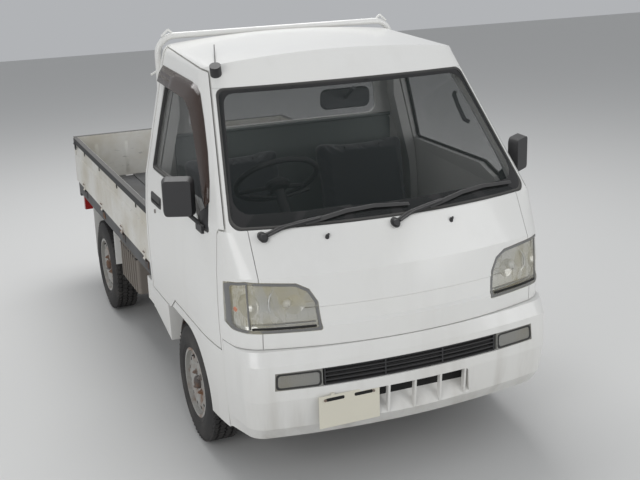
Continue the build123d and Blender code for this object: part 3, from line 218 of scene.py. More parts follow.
def metal_finish(name, colour, roughness, metallic, rust):
    """Steel or casting, with rust in patches."""
    f = Finish(name, colour, roughness, metallic)
    patch = f.noise(9.0, 6.0, 0.65)
    pit = f.noise(120.0, 4.0, 0.6)
    rusty = (patch.ease(0.62 - rust * 0.3, 0.72) * (0.5 + pit)).clamped()
    f.set("Base Color", f.blend(rusty, colour, (0.20, 0.095, 0.045)))
    f.set("Roughness", roughness + rusty * 0.3)
    f.set("Metallic", metallic * (1.0 - rusty))
    f.bump(pit + rusty * 0.5, 0.3, 0.0015)
    return f.material


def glass_finish(name, tint, clearness, roughness=0.01):
    """Sheet glass: mostly clear, with the tint and a mirror gloss; dust dims it a little."""
    f = Finish(name, tint, roughness, IOR=1.5)
    film = f.noise(4.0, 3.0)
    f.set("Roughness", roughness + film * 0.01)
    f.set("Alpha", 1.0 - clearness + film * 0.04)
    return f.material


def lens_finish(name, tint, flute_axis, flute_pitch, clearness, yellow):
    """Moulded lamp lens with flutes across it and the yellow haze of age."""
    f = Finish(name, tint, 0.12, IOR=1.49)
    ridge = (f.axis(flute_axis) * (2 * math.pi / flute_pitch)).sine()
    haze = f.noise(7.0, 3.0).ease(0.3, 0.8)
    f.set("Base Color", f.blend(haze, tint, yellow))
    f.set("Alpha", 1.0 - clearness + haze * 0.12)
    f.set("Roughness", 0.08 + haze * 0.15)
    f.bump(ridge, 0.35, 0.002)
    return f.material


def tyre_finish(name, colour, dust_colour):
    """Worn rubber with grey dust in patches."""
    f = Finish(name, colour, 0.75)
    dust = f.noise(5.0, 5.0, 0.6)
    f.set("Base Color", f.blend(dust.ease(0.4, 0.8) * 0.5, colour, dust_colour))
    f.set("Roughness", 0.66 + dust * 0.25)
    f.bump(f.noise(240.0, 2.0), 0.15, 0.0006)
    return f.material


def cloth_finish(name, colour, thread_turns):
    """Woven seat cloth: two crossing sets of threads, with painted shade in their gaps and painted light on
    their crossings, and soft wear.
    """
    f = Finish(name, colour, 0.85, Sheen_Weight=0.3, Sheen_Roughness=0.6)
    along = (f.axis("X") * thread_turns).sine()
    across = ((f.axis("Y") + f.axis("Z")) * thread_turns).sine()
    weave = (along * across).size()
    fleck = f.noise(180.0, 3.0, 0.7)
    # Painted shade and light: the weave darkens the threads' gaps and lights their crossings, mixing a
    # shaded and a lit copy of the cloth's colour; fleck and noise are its own tone
    light = (weave * 0.5 + fleck * 0.4 + f.noise(5.0, 3.0) * 0.2).clamped()
    f.set("Base Color", f.blend(light, shaded(colour, (0.6,) * 3), shaded(colour, (1.35,) * 3)))
    f.bump(weave + fleck * 0.4, 0.35, 0.0008)
    return f.material


def reflector_finish(name):
    """Silvered surface of a reflector or mirror."""
    f = Finish(name, (0.72, 0.72, 0.70), 0.14, metallic=1.0)
    f.set("Roughness", 0.1 + f.noise(20.0, 3.0) * 0.12)
    return f.material


def floor_finish(name, colour):
    """Studio floor: pale, even and matt."""
    f = Finish(name, colour, 0.9)
    f.set("Roughness", 0.85 + f.noise(2.0) * 0.1)
    return f.material


# Sizes and colours that a user may change

def colour_property(name, description, default):
    return FloatVectorProperty(name=name, description=description, subtype="COLOR", size=3, default=default)


def length_property(name, description, default):
    return FloatProperty(
        name=name, description=description, subtype="DISTANCE", unit="LENGTH", default=default)


def count_property(name, description, default):
    return IntProperty(name=name, description=description, default=default)


def angle_property(name, description, default):
    return FloatProperty(name=name, description=description, subtype="ANGLE", default=default)


class PickupColours(bpy.types.PropertyGroup):
    body: colour_property("Body", "Gloss paint of the cab", (0.80, 0.80, 0.785))
    bed: colour_property("Bed", "Worn paint of the gates", (0.74, 0.73, 0.69))
    bed_floor: colour_property("Bed floor", "Worn dark paint of the bed's floor", (0.07, 0.072, 0.075))
    wheel: colour_property("Wheels", "Paint of the pressed steel wheels", (0.38, 0.375, 0.355))
    cloth: colour_property("Seat cloth", "Woven cloth of the seats", (0.060, 0.063, 0.070))
    cabin: colour_property("Cabin plastic", "Moulded plastic of the dashboard", (0.030, 0.031, 0.034))
    floor: colour_property("Floor", "Colour of the studio's floor", (0.62, 0.62, 0.61))


class PickupTrim(bpy.types.PropertyGroup):
    tread_blocks: count_property("Tread blocks", "Blocks round each rib of a tread", 60)
    sipe: length_property("Sipe", "Gap between two tread blocks", 0.005)
    disc_out: length_property("Disc offset", "The disc's face, outwards from the wheel's middle", 0.045)
    nut_ring: length_property("Nut ring", "Radius of the ring of wheel nuts", 0.050)
    vents: count_property("Wheel vents", "Round vents in a wheel's disc", 12)
    fine_slats: count_property("Fine slats", "Fine slats behind the grille's own", 6)
    cloth_grid: length_property("Cloth grid", "Edge length of the seats' cloth mesh", 0.006)
    swell: length_property("Swell", "Most that a seat's cloth may move outwards", 0.018)


class PickupStage(bpy.types.PropertyGroup):
    azimuth: angle_property("Azimuth", "Camera's direction round the truck", -0.38825548)
    elevation: angle_property("Elevation", "Camera's angle above the horizon", 0.29824961)
    roll: angle_property("Roll", "Camera's turn about its own line of sight", -0.03227563)
    eye: FloatVectorProperty(
        name="Eye", description="Camera's place", subtype="XYZ", unit="LENGTH", size=3,
        default=(-1.83258, -5.19752, 2.2683))
    focal_px: FloatProperty(
        name="Focal length", description="Focal length in pixels of the 640 pixel wide image",
        subtype="PIXEL", default=1057.138)


# Each finish: its kind and that kind's values; a name in place of a colour is one of PickupColours
FINISHES = {
    "body_paint": (paint_finish, "body", 0.5, 0.25),
    "bed_paint": (worn_paint_finish, "bed", (0.16, 0.10, 0.07)),
    "bed_floor_paint": (worn_paint_finish, "bed_floor", (0.30, 0.24, 0.19)),
    "chassis_paint": (metal_finish, (0.03, 0.03, 0.03), 0.55, 0.0, 0.5),
    "casting": (metal_finish, (0.10, 0.10, 0.10), 0.6, 0.4, 0.8),
    "bare_steel": (metal_finish, (0.25, 0.24, 0.23), 0.45, 0.7, 0.9),
    "wheel_paint": (metal_finish, "wheel", 0.50, 0.20, 0.50),
    "black_plastic": (moulded_finish, (0.022, 0.022, 0.024), 0.5, 900.0, 0.12),
    "cabin_plastic": (moulded_finish, "cabin", 0.6, 700.0, 0.2),
    "cabin_grey": (moulded_finish, (0.10, 0.105, 0.11), 0.55, 700.0, 0.15),
    # The cab's inner rear wall is white body paint; this grey-green is that paint in painted shade, and the
    # sun visors share it
    "rear_trim": (moulded_finish, (0.26, 0.29, 0.28), 0.6, 500.0, 0.2),
    "battery_plastic": (moulded_finish, (0.20, 0.175, 0.15), 0.7, 300.0, 0.5),
    "plate_paint": (moulded_finish, (0.72, 0.69, 0.58), 0.45, 500.0, 0.2),
    "black_border": (moulded_finish, (0.012, 0.012, 0.013), 0.2, 900.0, 0.05),
    "rubber": (moulded_finish, (0.016, 0.016, 0.016), 0.7, 600.0, 0.2),
    "cap_rubber": (moulded_finish, (0.030, 0.031, 0.033), 0.75, 260.0, 0.25),
    "wheel_rubber": (moulded_finish, (0.030, 0.030, 0.032), 0.5, 500.0, 0.1),
    # Near-black stand-in for the shade inside holes, slots and recesses: painted shade
    "dark_recess": (moulded_finish, (0.006, 0.006, 0.006), 0.85, 400.0, 0.05),
    "lamp_bezel": (moulded_finish, (0.17, 0.17, 0.17), 0.4, 700.0, 0.1),
    "glass": (glass_finish, (0.014, 0.020, 0.019), 0.76),
    "door_glass": (glass_finish, (0.014, 0.020, 0.019), 0.76),
    "smoked_visor": (glass_finish, (0.055, 0.034, 0.026), 0.22, 0.12),
    "lamp_lens": (lens_finish, (0.62, 0.61, 0.54), "X", 0.006, 0.72, (0.58, 0.52, 0.32)),
    "bumper_lens": (lens_finish, (0.36, 0.36, 0.34), "X", 0.008, 0.35, (0.31, 0.29, 0.23)),
    "bulb_glass": (lens_finish, (0.70, 0.70, 0.66), "X", 0.01, 0.3, (0.55, 0.52, 0.42)),
    "amber_bulb": (lens_finish, (0.88, 0.13, 0.015), "X", 0.01, 0.0, (0.75, 0.11, 0.02)),
    "red_lens": (lens_finish, (0.42, 0.02, 0.02), "Z", 0.008, 0.1, (0.36, 0.03, 0.02)),
    "amber_lens": (lens_finish, (0.62, 0.22, 0.02), "Z", 0.008, 0.1, (0.5, 0.2, 0.04)),
    "clear_lens": (lens_finish, (0.62, 0.62, 0.58), "Z", 0.008, 0.2, (0.5, 0.48, 0.4)),
    "reflector": (reflector_finish,),
    "mirror_glass": (reflector_finish,),
    "tyre_rubber": (tyre_finish, (0.026, 0.025, 0.025), (0.12, 0.11, 0.10)),
    "seat_cloth": (cloth_finish, "cloth", 2200.0),
    "studio_floor": (floor_finish, "floor"),
}
MADE = {}

# Finishes of the solids by the start of a node's name; the rest is body paint
NODE_FINISHES = (
    ("glass", ("rear_window", "windscreen")),
    ("door_glass", ("door_glass",)),
    ("lamp_lens", ("headlamp_lenses",)),
    ("bumper_lens", ("bumper_lamps",)),
    ("red_lens", ("rear_lamps",)),
    ("reflector", ("headlamp_housings",)),
    ("plate_paint", ("number_plates",)),
    ("black_plastic", ("bumper_grille", "wipers", "steering", "aerial", "mirror")),
    ("cabin_plastic", ("cab_floor", "dashboard")),
    ("battery_plastic", ("battery_box",)),
    ("seat_cloth", ("seats",)),
    ("bed_paint", ("bed_headboard", "tailgate", "side_gate")),
    ("bed_floor_paint", ("bed_floor",)),
    ("chassis_paint", (
        "wheelhouses", "bed_sills", "gate_hinges", "chassis_frame", "front_arms", "fuel_tank", "strut")),
    ("casting", ("rear_axle", "engine_block", "knuckle")),
    ("bare_steel", ("leaf_springs", "exhaust")),
    ("tyre_rubber", ("spare_wheel", "tyre")),
    ("wheel_paint", ("rim",)),
)


def finish(name):
    """A material by name, made once."""
    if name not in MADE:
        kind, *values = FINISHES[name]
        if values and isinstance(values[0], str):
            values[0] = tuple(getattr(bpy.context.scene.pickup_colours, values[0]))
        MADE[name] = kind(name, *values)
    return MADE[name]


class PICKUP_OT_paint(bpy.types.Operator):
    """Gives each solid of the frame its finish"""

    bl_idname = "pickup.paint"
    bl_label = "Paint the solids"

    def execute(self, context):
        for name, obj in NODES.items():
            keys = [key for key, starts in NODE_FINISHES if name.startswith(starts)]
            for slot in obj.material_slots:
                slot.material = finish(keys[0] if keys else "body_paint")
        return {"FINISHED"}


# Mesh making

class Shape:
    """A mesh under construction, in metres and in the truck's frame."""

    def __init__(self):
        self.bm = bmesh.new()

    def box(self, low, high, turn=Matrix.Identity(4)):
        low, high = Vector(low), Vector(high)
        size = Matrix.Diagonal((*(high - low), 1.0))
        bmesh.ops.create_cube(self.bm, size=1.0, matrix=Matrix.Translation((low + high) / 2) @ turn @ size)
        return self

    def rod(self, start, end, radius, end_radius=None, sides=20):
        start, end = Vector(start), Vector(end)
        axis = end - start
        place = Matrix.Translation((start + end) / 2) @ axis.to_track_quat("Z", "Y").to_matrix().to_4x4()
        bmesh.ops.create_cone(
            self.bm, cap_ends=True, segments=sides, radius1=radius,
            radius2=radius if end_radius is None else end_radius, depth=axis.length, matrix=place)
        return self

    def stack(self, foot, out, rods):
        """Rods along out; each is (start, end, radius, end radius, sides)."""
        for start, end, radius, end_radius, sides in rods:
            self.rod(foot + out * start, foot + out * end, radius, end_radius, sides)
        return self

    def skin(self, rows, closed_rows=True, closed_ends=False):
        """Faces between rows of as many points each; the rows may be loops."""
        made = [[self.bm.verts.new(p) for p in row] for row in rows]
        count = len(made[0])
        for first, second in zip(made, made[1:] + (made[:1] if closed_ends else [])):
            for i in range(count if closed_rows else count - 1):
                j = (i + 1) % count
                self.bm.faces.new((first[i], first[j], second[j], second[i]))
        return made

    def capped(self, rows):
        """A closed solid of loops."""
        made = self.skin(rows)
        self.bm.faces.new(made[0][::-1])
        self.bm.faces.new(made[-1])
        return self

    def band(self, lay, outer, inner, section):
        """A raised band between two outlines; section is (share from outer to inner, lift)."""
        self.skin([[lay(*a.lerp(b, t), lift) for a, b in zip(outer, inner)] for t, lift in section])
        return self

    def pad(self, lay, outline, radius, section, runs=6):
        """A closed pad with rounded corners; section is (how far it draws in, lift)."""
        return self.capped([
            [lay(*point, lift) for point in corners(inset(outline, drawn), radius, runs=runs)]
            for drawn, lift in section])

    def lathe(self, profile, centre, axis, steps=48):
        """A full turn of (along, radius) points about an axis."""
        axis = Vector(axis).normalized()
        out = axis.orthogonal().normalized()
        points = [self.bm.verts.new(Vector(centre) + axis * a + out * r) for a, r in profile]
        edges = [self.bm.edges.new(pair) for pair in zip(points, points[1:] + points[:1])]
        bmesh.ops.spin(
            self.bm, geom=points + edges, cent=centre, axis=axis, dvec=(0, 0, 0), angle=2 * math.pi,
            steps=steps, use_merge=True)
        return self

    def tube(self, points, radius, sides=8, closed=False):
        """A round tube along points; open ends are capped."""
        points = [Vector(p) for p in points]
        count = len(points)
        rows = []
        side = None
        for i, point in enumerate(points):
            before = points[i - 1] if i or closed else points[0]
            after = points[(i + 1) % count] if i + 1 < count or closed else points[-1]
            ahead = (after - before).normalized()
            side = ahead.orthogonal() if side is None else side - ahead * side.dot(ahead)
            side = side.normalized()
            other = ahead.cross(side)
            rows.append([point + (side * math.cos(t) + other * math.sin(t)) * radius for t in turns(sides)])
        if closed:
            self.skin(rows, closed_ends=True)
        else:
            self.capped(rows)
        return self

    def done(self, name, body, key, bevel=0.0, replaces=(), slot=None):
        """Writes the mesh as a piece that rides on a body."""
        bmesh.ops.remove_doubles(self.bm, verts=self.bm.verts, dist=1e-6)
        bmesh.ops.recalc_face_normals(self.bm, faces=self.bm.faces)
        mesh = bpy.data.meshes.new(name)
        self.bm.to_mesh(mesh)
        self.bm.free()
        obj = bpy.data.objects.new(name, mesh)
        bpy.context.scene.collection.objects.link(obj)
        mesh.materials.append(finish(key))
        mesh.shade_smooth()
        mesh.set_sharp_from_angle(angle=math.radians(38))
        if bevel:
            edge = obj.modifiers.new("edge", "BEVEL")
            edge.width = bevel
            edge.segments = 2
            edge.limit_method = "ANGLE"
            edge.angle_limit = math.radians(40)
            edge.harden_normals = False
        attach(obj, body)
        for node in replaces:
            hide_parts(node)
        return obj


def turns(count, lag=0.0):
    """Angles of equal steps round a full turn."""
    return [2 * math.pi * (k + lag) / count for k in range(count)]


def places(first, last, count):
    return [first + (last - first) * k / (count - 1) for k in range(count)]


def spoke(turn):
    """The direction of a turn about the x axis."""
    return Vector((0, math.cos(turn), math.sin(turn)))


def rectangle(u0, v0, u1, v1):
    return (u0, v0), (u1, v0), (u1, v1), (u0, v1)


def upright(y, way):
    """Lays a point (x, z) on an upright plane across the truck, lifted in the way of y."""
    return lambda x, z, lift: Vector((x, y + way * lift, z))


def corners(points, radius, arc_steps=5, runs=6):
    """A closed outline with its corners rounded and its runs divided, as (u, v) points."""
    arcs = []
    for i, point in enumerate(points):
        here = Vector(point)
        before = Vector(points[i - 1]) - here
        after = Vector(points[(i + 1) % len(points)]) - here
        half = before.angle(after) / 2
        reach = min(radius / math.tan(half), before.length * 0.45, after.length * 0.45)
        start = here + before.normalized() * reach
        end = here + after.normalized() * reach
        centre = here + (before.normalized() + after.normalized()).normalized() * (reach / math.cos(half))
        sweep = math.pi - 2 * half
        arcs.append([
            centre + ((start - centre) * math.sin((1 - k / arc_steps) * sweep)
                      + (end - centre) * math.sin(k / arc_steps * sweep)) / math.sin(sweep)
            for k in range(arc_steps + 1)])
    made = []
    for arc, following in zip(arcs, arcs[1:] + arcs[:1]):
        made += arc + [arc[-1].lerp(following[0], k / runs) for k in range(1, runs)]
    return made


def inset(points, width):
    """A closed outline moved inwards by width, as (u, v) points; its turn may be either way."""
    area = sum(a[0] * b[1] - b[0] * a[1] for a, b in zip(points, list(points[1:]) + [points[0]]))
    turn = 1.0 if area > 0 else -1.0
    made = []
    for i, point in enumerate(points):
        here = Vector(point)
        ahead = (Vector(points[(i + 1) % len(points)]) - here).normalized()
        behind = (here - Vector(points[i - 1])).normalized()
        first = Vector((-behind.y, behind.x)) * turn
        second = Vector((-ahead.y, ahead.x)) * turn
        mitre = (first + second).normalized()
        made.append(here + mitre * (width / max(0.3, mitre.dot(second))))
    return made


class Skin:
    """The outside of a CAD node, on which trim is laid."""

    def __init__(self, name):
        mesh = NODES[name].data
        points = [v.co.copy() for v in mesh.vertices]
        self.tree = BVHTree.FromPolygons(points, [list(polygon.vertices) for polygon in mesh.polygons])

    def meet(self, start, direction, lift):
        place, normal, _, _ = self.tree.ray_cast(Vector(start), Vector(direction))
        if place is None:
            raise RuntimeError(f"nothing lies at {tuple(start)} along {tuple(direction)}")
        if normal.dot(direction) > 0:
            normal = -normal
        return place + normal * lift

    def front(self, x, z, lift=0.0):
        """On the front of the truck at x and z."""
        return self.meet((x, -3.0, z), (0, 1, 0), lift)

    def flank(self, side):
        """A function that lays a point (y, z) on one side of the truck."""
        return lambda y, z, lift=0.0: self.meet((side * 2.0, y, z), (-side, 0, 0), lift)


class PickupStep:
    """One step of the dressing: make() adds its pieces."""

    def execute(self, context):
        self.make(context.scene.pickup_trim)
        return {"FINISHED"}


# Wheels

# Half of the tyre's section: share of its half width, depth below the tread in metres
FLANK = (
    (0.0, 0.009), (0.3, 0.009), (0.62, 0.010), (0.80, 0.013), (0.90, 0.026), (0.965, 0.042), (1.0, 0.058),
    (0.99, 0.074), (0.95, 0.088), (0.96, 0.091), (0.92, 0.096), (0.88, 0.110), (0.80, 0.117),
)
# Ribs of the tread: share of the half width at the middle, width in metres, part of a pitch that it lags
RIBS = ((-0.64, 0.021, 0.0), (-0.21, 0.024, 0.5), (0.21, 0.024, 0.0), (0.64, 0.021, 0.5))
BLOCK_SLANT = 0.35
BLOCK_DEPTH = 0.012
BLOCK_MIDDLE = 0.0065
# Washer, nut and stud along the axle
NUT_RODS = (
    (-0.002, 0.004, 0.014, 0.014, 20), (0.003, 0.013, 0.0098, 0.0092, 6), (0.012, 0.019, 0.0052, 0.0045, 12),
)
NUTS = 4
HUB_CAP = (
    (0.0, 0.0298), (0.006, 0.0296), (0.016, 0.026), (0.021, 0.018), (0.0225, 0.0004), (0.0, 0.0004),
)
# The vents' ring on the dished disc: outwards from the wheel's middle, radius, and the dish's slope
VENT_OUT, VENT_RING, VENT_SLOPE = 0.0516, 0.117, 0.186
VENT_R = 0.0085
VALVE_RING = 0.137


class PICKUP_OT_tyres(PickupStep, bpy.types.Operator):
    """Makes the treaded tyres"""

    bl_idname = "pickup.tyres"
    bl_label = "Tyres"

    def make(self, trim):
        for corner in WHEELS:
            low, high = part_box(f"tyre_{corner}")
            centre = Matrix.Translation((low + high) / 2)
            half = (high.x - low.x) / 2
            radius = (high.z - low.z) / 2
            flank = [(share * half, radius - depth) for share, depth in FLANK]
            profile = [(-a, r) for a, r in flank[:0:-1]] + flank
            shape = Shape().lathe(profile, (low + high) / 2, (1, 0, 0), steps=72)
            length = radius * 2 * math.pi / trim.tread_blocks - trim.sipe
            for share, width, lag in RIBS:
                out = Matrix.Translation((share * half, 0, radius - BLOCK_MIDDLE))
                slant = Matrix.Rotation(math.copysign(BLOCK_SLANT, share), 4, "Z")
                block = out @ slant @ Matrix.Diagonal((width, length, BLOCK_DEPTH, 1.0))
                for turn in turns(trim.tread_blocks, lag):
                    place = centre @ Matrix.Rotation(turn, 4, "X") @ block
                    bmesh.ops.create_cube(shape.bm, size=1.0, matrix=place)
            shape.done(
                f"treaded_tyre_{corner}", f"wheel_{corner}", "tyre_rubber", replaces=[f"tyre_{corner}"],
                slot="tyre")


class PICKUP_OT_wheel_centres(PickupStep, bpy.types.Operator):
    """Adds the nuts, the hub caps, the vents' shadows and the valves to the wheels"""

    bl_idname = "pickup.wheel_centres"
    bl_label = "Wheel nuts and hub caps"

    def make(self, trim):
        for corner in WHEELS:
            body = f"wheel_{corner}"
            out = Vector((-1 if corner.endswith("right") else 1, 0, 0))
            low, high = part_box(f"rim_{corner}")
            centre = (low + high) / 2
            disc = centre + out * trim.disc_out
            nuts = Shape()
            for turn in turns(NUTS, 0.5):
                nuts.stack(disc + spoke(turn) * trim.nut_ring, out, NUT_RODS)
            nuts.done(f"wheel_nuts_{corner}", body, "bare_steel", bevel=0.0006)
            Shape().lathe(HUB_CAP, disc, out, steps=32).done(f"hub_cap_{corner}", body, "casting")
            # Near-black discs in the disc's vents: painted shade where the wheel is open
            vents = Shape()
            for turn in turns(trim.vents, 0.5):
                spot = centre + out * VENT_OUT + spoke(turn) * VENT_RING
                lean = (out + spoke(turn) * VENT_SLOPE).normalized()
                vents.rod(spot - lean * 0.0015, spot + lean * 0.0006, VENT_R)
            vents.done(f"wheel_vents_{corner}", body, "dark_recess")
            valve = disc + Vector((0, 0, VALVE_RING)) + out * 0.004
            tip = valve + out * 0.022 + Vector((0, 0, -0.006))
            Shape().rod(valve, tip, 0.0042, 0.0036, sides=12).done(f"valve_{corner}", body, "black_plastic")


# Windscreen

# The windscreen's opening and the inner edge of its border seen from the front, as (x, z)
SCREEN = ((-0.672, 1.109), (0.672, 1.109), (0.572, 1.600), (-0.572, 1.600))
SCREEN_INNER = ((-0.640, 1.160), (0.640, 1.160), (0.548, 1.578), (-0.548, 1.578))
SCREEN_CORNER = 0.034
BORDER_SECTION = ((0.0, 0.0004), (0.02, 0.0007), (0.97, 0.0007), (1.0, 0.0003))
RUBBER_SECTION = ((0.0, 0.0), (0.0, 0.0026), (0.45, 0.0034), (1.0, 0.0009))
NOZZLES = (("right", -0.313, 1.067), ("left", 0.231, 1.063))
WIPER_PIVOTS = (("right", -0.559, 1.087), ("left", -0.025, 1.091))
# The wiper arm's spine from its pivot, as (x, z)
WIPER_SPINE = ((0.02, 0.004), (0.09, 0.0285), (0.17, 0.040), (0.235, 0.0485))


class PICKUP_OT_screen_trim(PickupStep, bpy.types.Operator):
    """Adds the windscreen's black border and rubber, the washer nozzles and the wipers' knobs"""

    bl_idname = "pickup.screen_trim"
    bl_label = "Windscreen trim"

    def make(self, trim):
        screen = Skin("windscreen")
        edge = corners(inset(SCREEN, 0.0015), SCREEN_CORNER)
        inner = corners(SCREEN_INNER, 0.05)
        lip = corners(inset(SCREEN, 0.010), SCREEN_CORNER)
        Shape().band(screen.front, edge, inner, BORDER_SECTION).done(
            "windscreen_border", "vehicle", "black_border")
        Shape().band(screen.front, edge, lip, RUBBER_SECTION).done("windscreen_rubber", "vehicle", "rubber")

        panel = Skin("front_panel")
        up = Vector((0.0, -0.45, 0.9)).normalized()
        for name, x, z in NOZZLES:
            foot = panel.front(x, z)
            nozzle = Shape().rod(foot - up * 0.004, foot + up * 0.010, 0.009, 0.007, sides=16)
            start = foot + up * 0.008 + Vector((0, -0.004, 0))
            nozzle.rod(start, foot + up * 0.017 + Vector((0.006, 0.004, 0)), 0.006, 0.004)
            nozzle.done(f"washer_nozzle_{name}", "vehicle", "black_plastic", bevel=0.001)

        arm = Skin("wipers")
        for name, x, z in WIPER_PIVOTS:
            knob = arm.front(x, z)
            end = knob + Vector((0, -0.009, 0.003))
            Shape().rod(knob + Vector((0, 0.004, 0)), end, 0.016, 0.012).done(
                f"wiper_knob_{name}", "vehicle", "black_plastic", bevel=0.0015)
            spine = [arm.front(x + u, z + w, 0.002) for u, w in WIPER_SPINE]
            Shape().tube(spine, 0.0045).done(f"wiper_rod_{name}", "vehicle", "black_plastic")


# Doors; outlines seen from the side are (y, z)

WINDOW = (
    (-0.398, 1.152), (-1.060, 1.150), (-1.165, 1.106), (-1.200, 1.072), (-1.318, 1.072), (-1.240, 1.222),
    (-1.125, 1.370), (-0.930, 1.582), (-0.405, 1.602),
)
WINDOW_SECTION = ((0.0, 0.0), (0.0, 0.0132), (0.35, 0.0142), (0.75, 0.010), (1.0, 0.0008))
# The black panel in the window's dropped front corner
SAIL = ((-1.166, 1.122), (-1.203, 1.078), (-1.308, 1.078), (-1.256, 1.176))
# The rain visor's stations: its edge on the door and its free edge, and how far it stands off
VISOR = (
    ((-0.345, 1.622), (-0.345, 1.552), 0.020), ((-0.600, 1.614), (-0.600, 1.544), 0.026),
    ((-0.820, 1.606), (-0.810, 1.538), 0.028), ((-0.895, 1.598), (-0.862, 1.524), 0.028),
    ((-0.948, 1.574), (-0.905, 1.498), 0.026), ((-1.040, 1.482), (-0.992, 1.412), 0.022),
    ((-1.146, 1.366), (-1.100, 1.302), 0.018), ((-1.225, 1.262), (-1.185, 1.212), 0.014),
    ((-1.266, 1.190), (-1.246, 1.162), 0.008),
)
VISOR_LEAN = 0.22
VISOR_BULGE = 0.007
HANDLE = rectangle(-0.410, 1.050, -0.588, 0.995)
HANDLE_FLAP = rectangle(-0.424, 1.043, -0.574, 1.018)
HANDLE_SECTION = ((0.0, 0.0), (0.15, 0.003), (0.8, 0.0035), (1.0, 0.0008))
LOCK = (-0.482, 0.966)
KEYHOLE_HALF = Vector((0.0006, 0.0008, 0.004))
# The mirrors' glass: its centre on the left, half size, and how far each side's mirror turns outwards
MIRROR = (0.790, -1.157, 1.200)
MIRROR_HALF = (0.067, 0.084)
MIRROR_YAW = {"right": math.radians(24.0), "left": math.radians(35.0)}


class PICKUP_OT_door_trim(PickupStep, bpy.types.Operator):
    """Adds the doors' window rubbers, rain visors, handles and mirror glasses"""

    bl_idname = "pickup.door_trim"
    bl_label = "Door trim"

    def make(self, trim):
        outline = corners(inset(WINDOW, 0.0012), 0.0155, arc_steps=4, runs=5)
        lip = corners(inset(WINDOW, 0.013), 0.010, arc_steps=4, runs=5)
        for name, side in SIDES:
            door = f"door_{name}"
            glass = Skin(f"door_glass_{name}").flank(side)
            panel = Skin(door).flank(side)
            Shape().band(glass, outline, lip, WINDOW_SECTION).done(f"window_rubber_{name}", door, "rubber")
            sail = ((0.0, 0.0006), (0.0, 0.0110), (0.004, 0.0126))
            Shape().pad(glass, SAIL, 0.008, sail, runs=3).done(f"sail_panel_{name}", door, "black_plastic")
            self.visor(name, side, panel)
            self.handle(name, side, panel)
            self.mirror(name, side)

    def visor(self, name, side, panel):
        rows = []
        for fixed, free, stand in VISOR:
            foot = panel(*fixed, 0.001)
            lean = VISOR_LEAN * (fixed[1] - free[1])
            edge = Vector((foot.x + side * (lean + stand), *free))
            middle = foot.lerp(edge, 0.45) + Vector((side * VISOR_BULGE, 0, 0))
            rows.append((foot, middle, edge, edge + Vector((-side * 0.002, 0, -0.003))))
        visor = Shape()
        visor.skin(rows, closed_rows=False)
        piece = visor.done(f"rain_visor_{name}", f"door_{name}", "smoked_visor")
        piece.modifiers.new("wall", "SOLIDIFY").thickness = 0.0025

    def handle(self, name, side, panel):
        door = f"door_{name}"
        inner = corners(inset(HANDLE, 0.010), 0.008)
        Shape().band(panel, corners(HANDLE, 0.014), inner, HANDLE_SECTION).done(
            f"handle_frame_{name}", door, "black_plastic")
        # A near-black face inside the handle's frame: painted shade in its well
        well = Shape()
        well.bm.faces.new([well.bm.verts.new(panel(*point, 0.0006)) for point in inner])
        well.done(f"handle_well_{name}", door, "dark_recess")
        flap = ((0.0, 0.0008), (0.0, 0.003), (0.002, 0.0052))
        Shape().pad(panel, HANDLE_FLAP, 0.006, flap, runs=3).done(
            f"handle_flap_{name}", door, "black_plastic")
        key = panel(*LOCK)
        out = Vector((side, 0, 0))
        face = key + out * 0.004
        lock = Shape().rod(key - out * 0.002, face, 0.0105, 0.0095, sides=24)
        lock.box(face - KEYHOLE_HALF, face + KEYHOLE_HALF)
        lock.done(f"door_lock_{name}", door, "bare_steel", bevel=0.0008)

    def mirror(self, name, side):
        yaw = MIRROR_YAW[name]
        ahead = Vector((side * math.sin(yaw), -math.cos(yaw), 0))
        across = Vector((math.cos(yaw), side * math.sin(yaw), 0))
        centre = Vector((side * MIRROR[0], *MIRROR[1:]))
        half_w, half_h = MIRROR_HALF

        def lay(u, v, lift):
            return centre + across * u + Vector((0, 0, v)) - ahead * lift

        section = ((0.005, -0.0002), (0.005, 0.0012), (0.0075, 0.0016))
        Shape().pad(lay, rectangle(-half_w, -half_h, half_w, half_h), 0.022, section).done(
            f"mirror_glass_{name}", f"door_{name}", "mirror_glass")


# Lamps; outlines are seen from the front as (x, z), on the left

HEADLAMP = (
    (0.716, 0.905), (0.700, 0.922), (0.655, 0.931), (0.466, 0.914), (0.418, 0.888), (0.388, 0.836),
    (0.377, 0.721), (0.660, 0.723), (0.700, 0.728), (0.716, 0.752),
)
BUMPER_LAMP = ((0.400, 0.499), (0.585, 0.502), (0.581, 0.569), (0.400, 0.567))
BEZEL_SECTION = ((0.0, 0.0), (0.1, 0.0012), (0.85, 0.0014), (1.0, 0.0))
BUMPER_SECTION = ((0.0, 0.0), (0.1, 0.0016), (0.8, 0.0018), (1.0, 0.0))
DIVIDER = [(0.650, z) for z in (0.738, 0.78, 0.83, 0.88, 0.917)]
LAMP_LINE_XS = (0.642, 0.58, 0.52, 0.46, 0.402)
# Lines across the lens: piece's name, points, half width, finish
LAMP_BARS = (
    ("headlamp_divider", DIVIDER, 0.0035, "lamp_bezel"),
    ("headlamp_line_1", [(x, 0.757) for x in LAMP_LINE_XS], 0.0018, "lamp_bezel"),
    # The near-black line is painted shade
    ("headlamp_line_2", [(x, 0.741) for x in LAMP_LINE_XS], 0.0052, "dark_recess"),
)
# Bulbs: piece's name, place on the lens, how far inwards and behind it, radius, finish
BULBS = (
    ("main_bulb", (0.505, 0.836), (0.0, 0.012), 0.020, "bulb_glass"),
    ("turn_bulb", (0.687, 0.812), (0.012, 0.016), 0.0160, "amber_bulb"),
    ("side_bulb", (0.687, 0.878), (0.012, 0.016), 0.010, "bulb_glass"),
)
REFLECTOR_R = 0.074
REFLECTOR_DEPTH = 0.02


